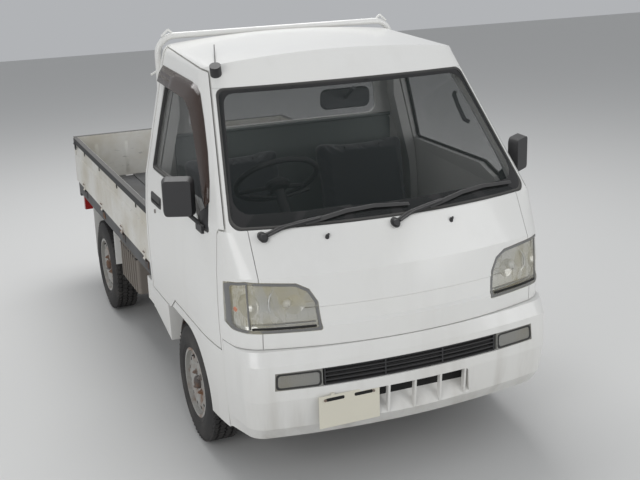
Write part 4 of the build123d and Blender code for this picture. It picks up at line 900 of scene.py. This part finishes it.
class PICKUP_OT_lamps(PickupStep, bpy.types.Operator):
    """Adds bulbs, reflector rims, dividers and bezels to the lamps"""

    bl_idname = "pickup.lamps"
    bl_label = "Lamp details"

    def make(self, trim):
        lens = Skin("headlamp_lenses")
        bumper = Skin("bumper_lamps")
        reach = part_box("headlamp_lenses")[1].x
        for name, side in SIDES:
            outline = [(side * min(x, reach), z) for x, z in HEADLAMP]
            outer = corners(inset(outline, 0.003), 0.009, arc_steps=3, runs=5)
            inner = corners(inset(outline, 0.013), 0.007, arc_steps=3, runs=5)
            Shape().band(lens.front, outer, inner, BEZEL_SECTION).done(
                f"headlamp_bezel_{name}", "vehicle", "lamp_bezel")
            for piece, line, half, key in LAMP_BARS:
                points = [lens.front(side * x, z, 0.0006) for x, z in line]
                Shape().tube(points, half, sides=6).done(f"{piece}_{name}", "vehicle", key)
            for piece, (x, z), (inwards, behind), radius, key in BULBS:
                place = lens.front(side * x, z) + Vector((-side * inwards, behind, 0))
                self.bulb(f"{piece}_{name}", place, radius, key)
                if piece == "main_bulb":
                    self.reflector_rim(f"reflector_rim_{name}", place)
        for name, side in SIDES:
            outline = [(side * x, z) for x, z in BUMPER_LAMP]
            outer = corners(inset(outline, 0.001), 0.014)
            inner = corners(inset(outline, 0.009), 0.012)
            Shape().band(bumper.front, outer, inner, BUMPER_SECTION).done(
                f"bumper_lamp_bezel_{name}", "vehicle", "rubber")

    def reflector_rim(self, name, bulb):
        """The rim round a bulb; it lies deeper above and below than at the sides."""
        ring = []
        for t in turns(40):
            depth = 0.004 + REFLECTOR_DEPTH * math.sin(t) ** 2
            ring.append(bulb + Vector((REFLECTOR_R * math.cos(t), depth, REFLECTOR_R * math.sin(t))))
        Shape().tube(ring, 0.0028, closed=True).done(name, "vehicle", "reflector")

    def bulb(self, name, place, radius, key):
        arc = [k * math.pi / 10 for k in range(11)]
        profile = [(-math.cos(t) * radius, max(math.sin(t) * radius, 0.0003)) for t in arc]
        profile += [(radius * 1.6, radius * 0.7), (radius * 1.6, 0.0003)]
        Shape().lathe(profile, place, (0, 1, 0), steps=20).done(name, "vehicle", key)


# Nose

ARC_POINTS = 25
SHADE_SHEET_IN = 0.017
SLAT_AHEAD = 0.008
SLAT_R = 0.0016
# The front plate's middle; its slots and bolts lie evenly on both sides of it
PLATE_X = -0.292
PLATE_SLOT_X = 0.062
PLATE_SLOT_HALF = 0.040
PLATE_SLOT_Z = (0.434, 0.448)
PLATE_BOLT_X = 0.105
PLATE_BOLT_Z = 0.441
INTAKE_SHADE_BOX = ((-0.250, -1.640, 0.388), (0.250, -1.636, 0.458))


class PICKUP_OT_nose_trim(PickupStep, bpy.types.Operator):
    """Adds painted shade behind the grille, its fine slats, painted shade in the plate's slots, the plate's
    bolts and painted shade in the intake
    """

    bl_idname = "pickup.nose_trim"
    bl_label = "Nose trim"

    def make(self, trim):
        low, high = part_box("bumper_grille")
        arc = []
        for x in places(low.x + 0.004, high.x - 0.004, ARC_POINTS):
            bow = (high.y - 0.015 - low.y) * (x / high.x) ** 2
            arc.append((x, low.y + bow + SHADE_SHEET_IN))
        # A near-black sheet behind the grille: painted shade
        shade_sheet = Shape()
        shade_sheet.skin([[Vector((x, y, z)) for x, y in arc] for z in (low.z, high.z)], closed_rows=False)
        piece = shade_sheet.done("grille_backing", "vehicle", "dark_recess")
        piece.modifiers.new("wall", "SOLIDIFY").thickness = 0.003
        for index, z in enumerate(places(low.z + 0.011, high.z - 0.011, trim.fine_slats)):
            points = [Vector((x, y - SLAT_AHEAD, z)) for x, y in arc]
            Shape().tube(points, SLAT_R, sides=6).done(f"fine_slat_{index + 1}", "vehicle", "black_plastic")

        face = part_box("number_plates")[0].y
        # Near-black pads in the plate's slots are painted shade
        slots = Shape()
        bolts = Shape()
        for way in (-1, 1):
            x = PLATE_X + way * PLATE_SLOT_X
            slot = rectangle(x - PLATE_SLOT_HALF, PLATE_SLOT_Z[0], x + PLATE_SLOT_HALF, PLATE_SLOT_Z[1])
            slots.pad(upright(face + 0.0002, -1), slot, 0.006, ((0.0, 0.0), (0.0, 0.0009)))
            foot = Vector((PLATE_X + way * PLATE_BOLT_X, face, PLATE_BOLT_Z))
            bolts.stack(foot, Vector((0, -1, 0)), ((-0.001, 0.0055, 0.0062, 0.0055, 6),))
        slots.done("plate_slots", "vehicle", "dark_recess")
        bolts.done("plate_bolts", "vehicle", "bare_steel", bevel=0.0008)
        # A near-black box in the intake: painted shade
        Shape().box(*INTAKE_SHADE_BOX).done("intake_backing", "vehicle", "dark_recess", bevel=0.001)


# Bed; the gates' sheets lie inside their boxes by the width of what stands out from them

SHEET_IN = 0.0045
SHEET_T = 0.0255
CAP_IN = 0.003
CAP_OUT = 0.0012
CAP_DROP = 0.034
CAP_RISE = 0.0025
RIB_FOOT_Z = 0.662
RIB_HALF = 0.011
RIB_FLARE = 0.006
RIB_DEPTH = 0.006
# Count of a gate's ribs and how far the outer ones are from its ends
SIDE_RIBS, SIDE_RIB_END = 9, 0.12
TAIL_RIBS, TAIL_RIB_END = 7, 0.14
LATCH_IN = 0.050
LATCH_Z = 0.900
NOTCH_YS = (-0.020, 0.428, 0.900, 1.350)
HOOK_YS = (0.11, 0.62, 1.16, 1.52)
HINGE_YS = (-0.170, 0.350, 0.880, 1.420)
HINGE_BOLT_Z = 0.678
# A rope hook's wire seen from the front, as (x, z)
HOOK_WIRE = ((0.690, 0.598), (0.708, 0.598), (0.716, 0.588), (0.716, 0.572), (0.709, 0.562))
HEADBOARD_TOP_Z = 0.937
GUARD_X = 0.612


class PICKUP_OT_bed_trim(PickupStep, bpy.types.Operator):
    """Adds the gates' rubber caps, ribs, latches and hooks and the guard frame's fittings"""

    bl_idname = "pickup.bed_trim"
    bl_label = "Bed trim"

    def make(self, trim):
        for number, (name, side) in enumerate(SIDES, 1):
            node = f"side_gate_{name}"
            low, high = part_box(node)
            face = (high.x if side > 0 else low.x) - side * SHEET_IN
            inner = face - side * SHEET_T
            near = (inner - side * CAP_IN, low.y + 0.001)
            self.cap(number, node, near, (face + side * CAP_OUT, high.y - 0.001), high.z)
            ribs = places(low.y + SIDE_RIB_END, high.y - SIDE_RIB_END, SIDE_RIBS)
            for index, y in enumerate(ribs, 1):
                self.rib(f"gate_rib_{name}_{index}", node, (inner, y, 0), (-side, 0, 0), high.z)
            self.gate_fittings(name, side, node, face, high.y - LATCH_IN)

        low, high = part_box("tailgate")
        face = high.y - SHEET_IN
        inner = face - SHEET_T
        self.cap(3, "tailgate", (low.x + 0.001, inner - CAP_IN), (high.x - 0.001, face + CAP_OUT), high.z)
        ribs = places(low.x + TAIL_RIB_END, high.x - TAIL_RIB_END, TAIL_RIBS)
        for index, x in enumerate(ribs, 1):
            self.rib(f"tailgate_rib_{index}", "tailgate", (x, inner, 0), (0, -1, 0), high.z)
        low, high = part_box("bed_headboard")
        near = (low.x + 0.001, low.y - 0.001)
        self.cap(4, "vehicle", near, (high.x - 0.001, low.y + 0.027), HEADBOARD_TOP_Z)

        brackets = Shape()
        for side in (-1, 1):
            x = side * GUARD_X
            brackets.box((x - 0.029, -0.2815, 0.905), (x + 0.029, -0.2455, 0.915))
            for z in (0.925, 0.955):
                brackets.rod((x, -0.246, z), (x, -0.240, z), 0.0075, 0.0068, sides=6)
        brackets.done("guard_brackets", "vehicle", "body_paint", bevel=0.001)

    def gate_fittings(self, name, side, node, face, y):
        """A side gate's latch at y, painted shade in its notches, its hinge bolts, and the rope hooks below
        it.
        """
        latch = Shape()
        latch.box((face - side * 0.002, y - 0.016, 0.868), (face + side * 0.003, y + 0.016, 0.925))
        latch.rod((face, y, 0.875), (face, y, 0.918), 0.0065, sides=14)
        bolt_x = face + side * 0.001
        latch.rod((bolt_x, y - 0.012, LATCH_Z), (bolt_x, y + 0.052, LATCH_Z), 0.0045, sides=12)
        latch.done(f"gate_latch_{name}", node, "black_plastic", bevel=0.001)
        # Near-black boxes set into the face: painted shade in the notches
        notches = Shape()
        for y in NOTCH_YS:
            notches.box((face - side * 0.0095, y - 0.007, 0.872), (face - side * 0.0075, y + 0.007, 0.899))
        notches.done(f"gate_notches_{name}", node, "dark_recess", bevel=0.0005)
        hooks = Shape()
        for y in HOOK_YS:
            hooks.tube([Vector((side * x, y, z)) for x, z in HOOK_WIRE], 0.0045)
        hooks.done(f"rope_hooks_{name}", "vehicle", "chassis_paint")
        bolts = Shape()
        for y in HINGE_YS:
            for step in (-0.010, 0.010):
                foot = Vector((face, y + step, HINGE_BOLT_Z))
                bolts.stack(foot, Vector((side, 0, 0)), ((-0.001, 0.0055, 0.0045, 0.004, 6),))
        bolts.done(f"hinge_bolts_{name}", node, "bare_steel", bevel=0.0005)

    def cap(self, number, body, low, high, top):
        """A rubber cap over a gate's top edge; low and high are its corners seen from above."""
        cap = Shape().box((*low, top - CAP_DROP), (*high, top + CAP_RISE))
        cap.done(f"gate_cap_{number}", body, "cap_rubber", bevel=0.003)

    def rib(self, name, body, foot, inwards, top):
        """A pressed upright rib on a gate's inner face."""
        foot, inwards = Vector(foot), Vector(inwards)
        across = inwards.cross(Vector((0, 0, 1)))
        near = across * RIB_HALF
        far = across * (RIB_HALF + RIB_FLARE)
        section = (
            (RIB_FOOT_Z, 0.0), (RIB_FOOT_Z + 0.010, RIB_DEPTH), (top - 0.062, RIB_DEPTH), (top - 0.050, 0.0))
        rows = []
        for z, depth in section:
            base = Vector((foot.x, foot.y, z))
            crest = base + inwards * depth
            rows.append([base - far, crest - near, crest + near, base + far])
        Shape().capped(rows).done(name, body, "bed_paint")


# Cabin

WHEEL_CENTRE = Vector((-0.330, -1.050, 1.190))
WHEEL_RAKE = math.radians(50)
WHEEL_R = 0.179
SPOKE_DEGREES = (-150, -30, 270)
# A spoke's spine and the boss, both as distances from the wheel's plane and its axis
SPOKE_SPINE = ((-0.026, 0.03), (-0.020, 0.07), (-0.010, 0.12), (-0.001, 0.176))
BOSS = (
    (-0.044, 0.0004), (-0.044, 0.040), (-0.030, 0.052), (-0.018, 0.052), (-0.008, 0.040), (-0.004, 0.0004),
)
REAR_PANEL_Y = -0.3195
REAR_PANEL = rectangle(-0.575, 0.80, 0.575, 1.275)
PANEL_ROLL = ((-0.57, -0.328, 1.278), (0.57, -0.328, 1.278))
INSIDE_MIRROR = Vector((0.030, -0.985, 1.500))
MIRROR_OUTLINE = rectangle(-0.116, -0.044, 0.116, 0.044)
STEM_TOP = (0.02, 1.566)
# The inside mirror's sections: share of its outline, how far ahead
MIRROR_SECTIONS = ((0.6, 0.020), (0.93, 0.014), (1.0, 0.004), (1.0, -0.004), (0.90, -0.012))
GRAB_HANDLE = (
    (0.568, -1.005, 1.478), (0.556, -1.020, 1.470), (0.552, -1.065, 1.425), (0.556, -1.115, 1.372),
    (0.572, -1.130, 1.362),
)
# A sun visor seen from above, on the left; it rises to its rear edge
SUN_VISOR = ((0.06, -0.895), (0.46, -0.86), (0.46, -0.745), (0.06, -0.765))
VISOR_REAR_Y, VISOR_REAR_Z, VISOR_SLOPE = -0.745, 1.652, 0.10
DIAL_GLASS_Y = -1.3298
DIAL_GLASS = rectangle(-0.500, 1.066, -0.165, 1.114)
LEVER_FOOT = (0.02, -1.06, 0.615)
LEVER_TOP = (0.0, -1.09, 0.86)
LEVER_KNOB = ((0.0, -1.09, 0.855), (-0.001, -1.093, 0.905))
BOOT = (
    (0.0, 0.062), (0.02, 0.056), (0.022, 0.046), (0.045, 0.040), (0.047, 0.030), (0.075, 0.014),
    (0.08, 0.0004), (0.0, 0.0004),
)
KNOB_XS = (-0.02, 0.05, 0.12)
KNOB_Z = 0.985
VENT_XS = (-0.585, -0.07, 0.07, 0.585)
VENT_SLAT_ZS = (1.030, 1.018, 1.006, 0.994)
PEDAL_XS = (-0.42, -0.31, -0.20)
# A pedal's pad and arm seen from the side, as (y, z)
PEDAL_PAD = ((-1.440, 0.575), (-1.428, 0.640))
PEDAL_ARM = ((-1.440, 0.630), (-1.500, 0.790))
PEDAL_LEAN = -0.5
# A stalk's foot and tip, outwards from the steering wheel's middle
STALK = ((0.02, -1.105, 1.125), (0.135, -1.085, 1.140))


class PICKUP_OT_cabin(PickupStep, bpy.types.Operator):
    """Adds the steering wheel, the mirror, handle, visors, panel and controls inside the cab"""

    bl_idname = "pickup.cabin"
    bl_label = "Cabin fittings"

    def make(self, trim):
        self.steering_wheel()
        self.upper_fittings()
        self.dashboard()
        self.controls()

    def steering_wheel(self):
        axis = Vector((0, math.cos(WHEEL_RAKE), math.sin(WHEEL_RAKE)))
        up = Vector((0, -math.sin(WHEEL_RAKE), math.cos(WHEEL_RAKE)))

        def at(angle, radius, lift=0.0):
            across = Vector((1, 0, 0)) * math.cos(angle) + up * math.sin(angle)
            return WHEEL_CENTRE + across * radius + axis * lift

        wheel = Shape().tube([at(t, WHEEL_R) for t in turns(72)], 0.0122, sides=14, closed=True)
        for degrees in SPOKE_DEGREES:
            spine = [at(math.radians(degrees), radius, lift) for lift, radius in SPOKE_SPINE]
            wheel.tube(spine, 0.0095, sides=10)
        wheel.lathe(BOSS, WHEEL_CENTRE, axis, steps=36)
        wheel.done("detailed_steering_wheel", "steering_wheel", "wheel_rubber", replaces=["steering_wheel"])

    def upper_fittings(self):
        # The rear wall's panel and its roll are body paint given a dark grey-green: painted shade
        Shape().pad(upright(REAR_PANEL_Y, -1), REAR_PANEL, 0.03, ((0.0, 0.0), (0.004, 0.006))).done(
            "rear_panel", "vehicle", "rear_trim")
        Shape().tube(PANEL_ROLL, 0.009, sides=10).done("rear_panel_roll", "vehicle", "rear_trim")

        outline = corners(MIRROR_OUTLINE, 0.028)
        rows = []
        for share, ahead in MIRROR_SECTIONS:
            rows.append([INSIDE_MIRROR + Vector((p.x * share, ahead, p.y * share)) for p in outline])
        Shape().capped(rows).done("cabin_mirror", "vehicle", "cabin_grey")
        top = Skin("windscreen").front(*STEM_TOP, -0.006)
        bend = top.lerp(INSIDE_MIRROR, 0.5) + Vector((0, 0.004, -0.004))
        Shape().tube([top, bend, INSIDE_MIRROR], 0.008).done("cabin_mirror_stem", "vehicle", "cabin_grey")
        Shape().tube(GRAB_HANDLE, 0.0095, sides=10).done("grab_handle", "vehicle", "cabin_grey")

        def lay(x, y, lift):
            return Vector((x, y, VISOR_REAR_Z - VISOR_SLOPE * (VISOR_REAR_Y - y) - lift))

        for name, side in SIDES:
            outline = [(side * x, y) for x, y in SUN_VISOR]
            Shape().pad(lay, outline, 0.03, ((0.0, 0.0), (0.0, 0.010))).done(
                f"sun_visor_{name}", "vehicle", "rear_trim")

    def dashboard(self):
        Shape().pad(upright(DIAL_GLASS_Y, 1), DIAL_GLASS, 0.014, ((0.0, 0.0), (0.004, 0.004))).done(
            "instrument_glass", "vehicle", "black_border")
        knobs = Shape()
        for x in KNOB_XS:
            knobs.rod((x, -1.315, KNOB_Z), (x, -1.288, KNOB_Z), 0.017, 0.014, sides=24)
        knobs.done("heater_knobs", "vehicle", "black_plastic", bevel=0.0015)
        vents = Shape()
        for x in VENT_XS:
            for z in VENT_SLAT_ZS:
                vents.box((x - 0.05, -1.312, z - 0.002), (x + 0.05, -1.300, z + 0.002))
        vents.done("vent_slats", "vehicle", "black_plastic", bevel=0.0008)

    def controls(self):
        lever = Shape().rod(LEVER_FOOT, LEVER_TOP, 0.008).rod(*LEVER_KNOB, 0.021, 0.017)
        lever.done("gear_lever", "vehicle", "black_plastic", bevel=0.004)
        Shape().lathe(BOOT, LEVER_FOOT, (0, 0, 1), steps=32).done("gear_boot", "vehicle", "rubber")
        pedals = Shape()
        lean = Matrix.Rotation(PEDAL_LEAN, 4, "X")
        for x in PEDAL_XS:
            pedals.box((x - 0.026, *PEDAL_PAD[0]), (x + 0.026, *PEDAL_PAD[1]), lean)
            pedals.rod((x, *PEDAL_ARM[0]), (x, *PEDAL_ARM[1]), 0.006)
        pedals.done("pedals", "vehicle", "rubber", bevel=0.002)
        stalks = Shape()
        for side in (-1, 1):
            foot, tip = [(WHEEL_CENTRE.x + side * x, y, z) for x, y, z in STALK]
            stalks.rod(foot, tip, 0.006, 0.008)
        stalks.done("column_stalks", "vehicle", "black_plastic", bevel=0.001)


# Seats

SEAT_X = 0.335
# Half width, then y and z of the cushion's low and high corners, and its lean
SEAT_BASE = (0.238, (-1.142, 0.622), (-0.610, 0.738), 0.0)
SEAT_BACK = (0.236, (-0.602, 0.735), (-0.515, 1.200), -math.radians(15.5))
RAIL_YS = (-1.05, -0.70)
SEAT_EDGE = 0.030
SEAM_SHARES = (0.30, 0.70)
CLOTH_STEPS = 20
CLOTH_PRESSURE = 4.0
CLOTH_STIFFNESS = 25.0


class PICKUP_OT_seats(PickupStep, bpy.types.Operator):
    """Makes the padded seats"""

    bl_idname = "pickup.seats"
    bl_label = "Seats"

    def make(self, trim):
        for name, side in SIDES:
            x = side * SEAT_X
            self.cushion(f"seat_base_{name}", x, SEAT_BASE, trim, replaces=["seats"] if side < 0 else [])
            self.cushion(f"seat_back_{name}", x, SEAT_BACK, trim)
            feet = Shape()
            for y in RAIL_YS:
                feet.box((x - 0.20, y - 0.02, 0.614), (x + 0.20, y + 0.02, 0.626))
            feet.done(f"seat_rails_{name}", "vehicle", "chassis_paint", bevel=0.002)

    def cushion(self, name, x, form, trim, replaces=()):
        """Foam under cloth: blown up a little by the cloth's pressure, then stitched."""
        half, low, high, lean = form
        low, high = Vector((x - half, *low)), Vector((x + half, *high))
        foot = Vector((x, (low.y + high.y) / 2, low.z))
        turn = Matrix.Translation(foot) @ Matrix.Rotation(lean, 4, "X") @ Matrix.Translation(-foot)
        shape = Shape().box(low, high)
        bmesh.ops.bevel(
            shape.bm, geom=shape.bm.edges[:], offset=SEAT_EDGE, affect="EDGES", segments=3, profile=0.5,
            material=-1)
        bmesh.ops.transform(shape.bm, matrix=turn, verts=shape.bm.verts[:])
        piece = shape.done(name, "vehicle", "seat_cloth", replaces=replaces, slot="seat_cloth")
        self.inflate(piece, trim)
        seam = Shape()
        for share in SEAM_SHARES:
            at = low.x + (high.x - low.x) * share
            if lean:
                line = [Vector((at, low.y - 0.004, z)) for z in places(low.z + 0.05, high.z - 0.03, 7)]
            else:
                line = [Vector((at, y, high.z + 0.004)) for y in places(low.y + 0.03, high.y - 0.04, 7)]
            seam.tube([turn @ p for p in line], 0.0028, sides=6)
        seam.done(f"{name}_piping", "vehicle", "rubber")

    def inflate(self, piece, trim):
        scene = bpy.context.scene
        remesh = piece.modifiers.new("remesh", "REMESH")
        remesh.mode = "VOXEL"
        remesh.voxel_size = trim.cloth_grid
        self.apply(piece)
        rest = [v.co.copy() for v in piece.data.vertices]
        cloth = piece.modifiers.new("cloth", "CLOTH").settings
        cloth.use_pressure = True
        cloth.uniform_pressure_force = CLOTH_PRESSURE
        cloth.effector_weights.gravity = 0.0
        cloth.tension_stiffness = CLOTH_STIFFNESS
        cloth.compression_stiffness = CLOTH_STIFFNESS
        for step in range(CLOTH_STEPS):
            scene.frame_set(step + 1)
        self.apply(piece)
        scene.frame_set(1)
        for vertex, start in zip(piece.data.vertices, rest):
            move = vertex.co - start
            if move.length > trim.swell:
                vertex.co = start + move.normalized() * trim.swell
        piece.data.shade_smooth()
        fine = piece.modifiers.new("fine", "SUBSURF")
        fine.levels = fine.render_levels = 1

    def apply(self, piece):
        """Turns the piece's modifiers into its mesh."""
        bpy.context.view_layer.update()
        graph = bpy.context.evaluated_depsgraph_get()
        made = bpy.data.meshes.new_from_object(piece.evaluated_get(graph))
        piece.modifiers.clear()
        old = piece.data
        piece.data = made
        bpy.data.meshes.remove(old)


# Underside and tail

FUEL_CAP = (
    (0.0, 0.0004), (0.0, 0.034), (0.012, 0.034), (0.016, 0.030), (0.030, 0.028), (0.033, 0.022),
    (0.033, 0.0004),
)
STRAP_YS = (0.02, 0.34)
STRAP_HALF = 0.012
FLAP_XS = (0.585, 0.712)
FLAP_ZS = (0.232, 0.40)
FLAP_BOLT_XS = (0.61, 0.65, 0.69)
FLAP_BOLT_Z = 0.385
DRUM = (0.584, 0.972, 0.271)
DRUM_BOLT_RING = 0.082
SPRING_X = 0.5
CLAMP_YS = (0.935, 1.009)
CLAMP_ZS = (0.268, 0.334)
BRAKE_PIPE = (
    (0.26, -0.42, 0.47), (0.27, -0.1, 0.50), (0.27, 0.6, 0.515), (0.27, 0.88, 0.50), (0.12, 0.955, 0.31),
    (0.52, 0.955, 0.305),
)
# A rear lamp's parts: name, inner and outer x, finish
REAR_LENSES = (
    ("tail", 0.478, 0.560, "red_lens"),
    ("turn", 0.563, 0.640, "amber_lens"),
    ("back", 0.643, 0.692, "clear_lens"),
)
REAR_LENS_Z = (0.460, 0.536)


class PICKUP_OT_underside(PickupStep, bpy.types.Operator):
    """Adds the battery lid's seam, fuel cap, tank straps, mud flaps, rear lenses, bolts and brake pipe"""

    bl_idname = "pickup.underside"
    bl_label = "Sides and underside"

    def make(self, trim):
        low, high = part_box("battery_box")
        near = (low.x + 0.002, low.y + 0.004, high.z - 0.052)
        seam = Shape().box(near, (low.x + 0.014, high.y - 0.004, high.z - 0.044))
        seam.done("battery_lid_seam", "vehicle", "rubber", bevel=0.001)

        low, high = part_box("fuel_tank")
        neck = Vector((high.x - 0.022, low.y + 0.10, high.z - 0.055))
        Shape().lathe(FUEL_CAP, neck, (1, 0, 0), steps=36).done("fuel_cap", "vehicle", "black_plastic")
        straps = Shape()
        for y in STRAP_YS:
            near, far = y - STRAP_HALF, y + STRAP_HALF
            straps.box((high.x - 0.010, near, low.z + 0.03), (high.x + 0.0015, far, high.z - 0.03))
            straps.box((low.x + 0.03, near, low.z - 0.0015), (high.x - 0.03, far, low.z + 0.004))
        straps.done("tank_straps", "vehicle", "chassis_paint", bevel=0.0008)

        guard_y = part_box("mudguards")[1].y
        lamp_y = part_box("rear_lamps")[1].y
        drums = Shape()
        clamps = Shape()
        for name, side in SIDES:
            out = Vector((side, 0, 0))
            near, far = sorted(side * x for x in FLAP_XS)
            flap = Shape().box((near, guard_y - 0.0005, FLAP_ZS[0]), (far, guard_y + 0.0035, FLAP_ZS[1]))
            flap.done(f"mud_flap_{name}", "vehicle", "rubber", bevel=0.0008)
            bolts = Shape()
            for x in FLAP_BOLT_XS:
                foot = (side * x, guard_y + 0.002, FLAP_BOLT_Z)
                bolts.rod(foot, (side * x, guard_y + 0.009, FLAP_BOLT_Z), 0.006, sides=6)
            bolts.done(f"mud_flap_bolts_{name}", "vehicle", "bare_steel", bevel=0.0005)
            for part, inner, outer, key in REAR_LENSES:
                outline = rectangle(side * inner, REAR_LENS_Z[0], side * outer, REAR_LENS_Z[1])
                section = ((0.0, -0.001), (0.0, 0.010), (0.006, 0.014))
                Shape().pad(upright(lamp_y, 1), outline, 0.008, section).done(
                    f"rear_{part}_lens_{name}", "vehicle", key)
            for turn in turns(10):
                foot = Vector((side * DRUM[0], *DRUM[1:])) + spoke(turn) * DRUM_BOLT_RING
                drums.rod(foot, foot - out * 0.006, 0.006, sides=6)
            for y in CLAMP_YS:
                x = side * SPRING_X
                clamps.box((x - 0.034, y - 0.008, CLAMP_ZS[0]), (x + 0.034, y + 0.008, CLAMP_ZS[1]))
        drums.done("drum_bolts", "vehicle", "bare_steel", bevel=0.0005)
        clamps.done("spring_clamps", "vehicle", "chassis_paint", bevel=0.002)
        Shape().tube(BRAKE_PIPE, 0.004).done("brake_pipe", "vehicle", "bare_steel")


# Stage

FLOOR_HALF = 14.0
SENSOR_W = 36.0
SKY = (0.80, 0.82, 0.85, 1.0)
SKY_STRENGTH = 0.55
LAMPS_AIM = Vector((0, -0.3, 0.7))
# Each lamp's power in watts, size and place
LAMPS = {
    "overhead": (230.0, 4.5, (0.3, 2.2, 5.5)),
    "front_left": (130.0, 4.0, (-5.5, -5.0, 3.0)),
    "front_right": (110.0, 4.0, (4.5, -6.0, 2.6)),
}


class PICKUP_OT_stage(bpy.types.Operator):
    """Sets up the floor, the lamps, the light all round and the camera"""

    bl_idname = "pickup.stage"
    bl_label = "Set the stage"

    def execute(self, context):
        bm = bmesh.new()
        bmesh.ops.create_grid(bm, x_segments=2, y_segments=2, size=FLOOR_HALF)
        mesh = bpy.data.meshes.new("studio_floor")
        bm.to_mesh(mesh)
        bm.free()
        floor = self.link("studio_floor", mesh)
        mesh.materials.append(finish("studio_floor"))

        world = bpy.data.worlds.new("studio")
        context.scene.world = world
        world.use_nodes = True
        background = world.node_tree.nodes["Background"]
        background.inputs["Color"].default_value = SKY
        background.inputs["Strength"].default_value = SKY_STRENGTH

        for name, (energy, size, place) in LAMPS.items():
            data = bpy.data.lights.new(name, "AREA")
            data.energy = energy
            data.size = size
            lamp = self.link(name, data)
            lamp.location = place
            lamp.rotation_euler = (LAMPS_AIM - Vector(place)).to_track_quat("-Z", "Y").to_euler()
        self.camera(context.scene)
        context.scene.view_settings.view_transform = "Standard"
        return {"FINISHED"}

    def link(self, name, data):
        made = bpy.data.objects.new(name, data)
        bpy.context.scene.collection.objects.link(made)
        return made

    def camera(self, scene):
        stage = scene.pickup_stage
        data = bpy.data.cameras.new("camera")
        data.sensor_width = SENSOR_W
        data.lens = stage.focal_px * SENSOR_W / IMAGE_W
        camera = self.link("camera", data)
        az, el, roll = stage.azimuth, stage.elevation, stage.roll
        ahead = Vector((-math.sin(az) * math.cos(el), math.cos(az) * math.cos(el), -math.sin(el)))
        right = ahead.cross(Vector((0, 0, 1))).normalized()
        up = right.cross(ahead)
        across = right * math.cos(roll) + up * math.sin(roll)
        above = up * math.cos(roll) - right * math.sin(roll)
        turn = Matrix((across, above, -ahead)).transposed().to_4x4()
        camera.matrix_world = Matrix.Translation(Vector(stage.eye)) @ turn
        scene.camera = camera


OPERATORS = (
    PICKUP_OT_paint, PICKUP_OT_tyres, PICKUP_OT_wheel_centres, PICKUP_OT_screen_trim, PICKUP_OT_door_trim,
    PICKUP_OT_lamps, PICKUP_OT_nose_trim, PICKUP_OT_bed_trim, PICKUP_OT_cabin, PICKUP_OT_seats,
    PICKUP_OT_underside, PICKUP_OT_stage,
)


class PICKUP_PT_panel(bpy.types.Panel):
    """Lists the steps that dress the truck"""

    bl_label = "Pickup"
    bl_idname = "PICKUP_PT_panel"
    bl_space_type = "VIEW_3D"
    bl_region_type = "UI"
    bl_category = "Pickup"

    def draw(self, context):
        scene = context.scene
        for settings in (scene.pickup_colours, scene.pickup_trim, scene.pickup_stage):
            for name in settings.__annotations__:
                self.layout.prop(settings, name)
        for step in OPERATORS:
            self.layout.operator(step.bl_idname)


CLASSES = (PickupColours, PickupTrim, PickupStage, *OPERATORS, PICKUP_PT_panel)


def register():
    for cls in CLASSES:
        bpy.utils.register_class(cls)
    bpy.types.Scene.pickup_colours = PointerProperty(type=PickupColours)
    bpy.types.Scene.pickup_trim = PointerProperty(type=PickupTrim)
    bpy.types.Scene.pickup_stage = PointerProperty(type=PickupStage)


def unregister():
    del bpy.types.Scene.pickup_stage
    del bpy.types.Scene.pickup_trim
    del bpy.types.Scene.pickup_colours
    for cls in reversed(CLASSES):
        bpy.utils.unregister_class(cls)


def main():
    register()
    for step in OPERATORS:
        group, action = step.bl_idname.split(".")
        getattr(getattr(bpy.ops, group), action)()


if __name__ == "__main__":
    main()
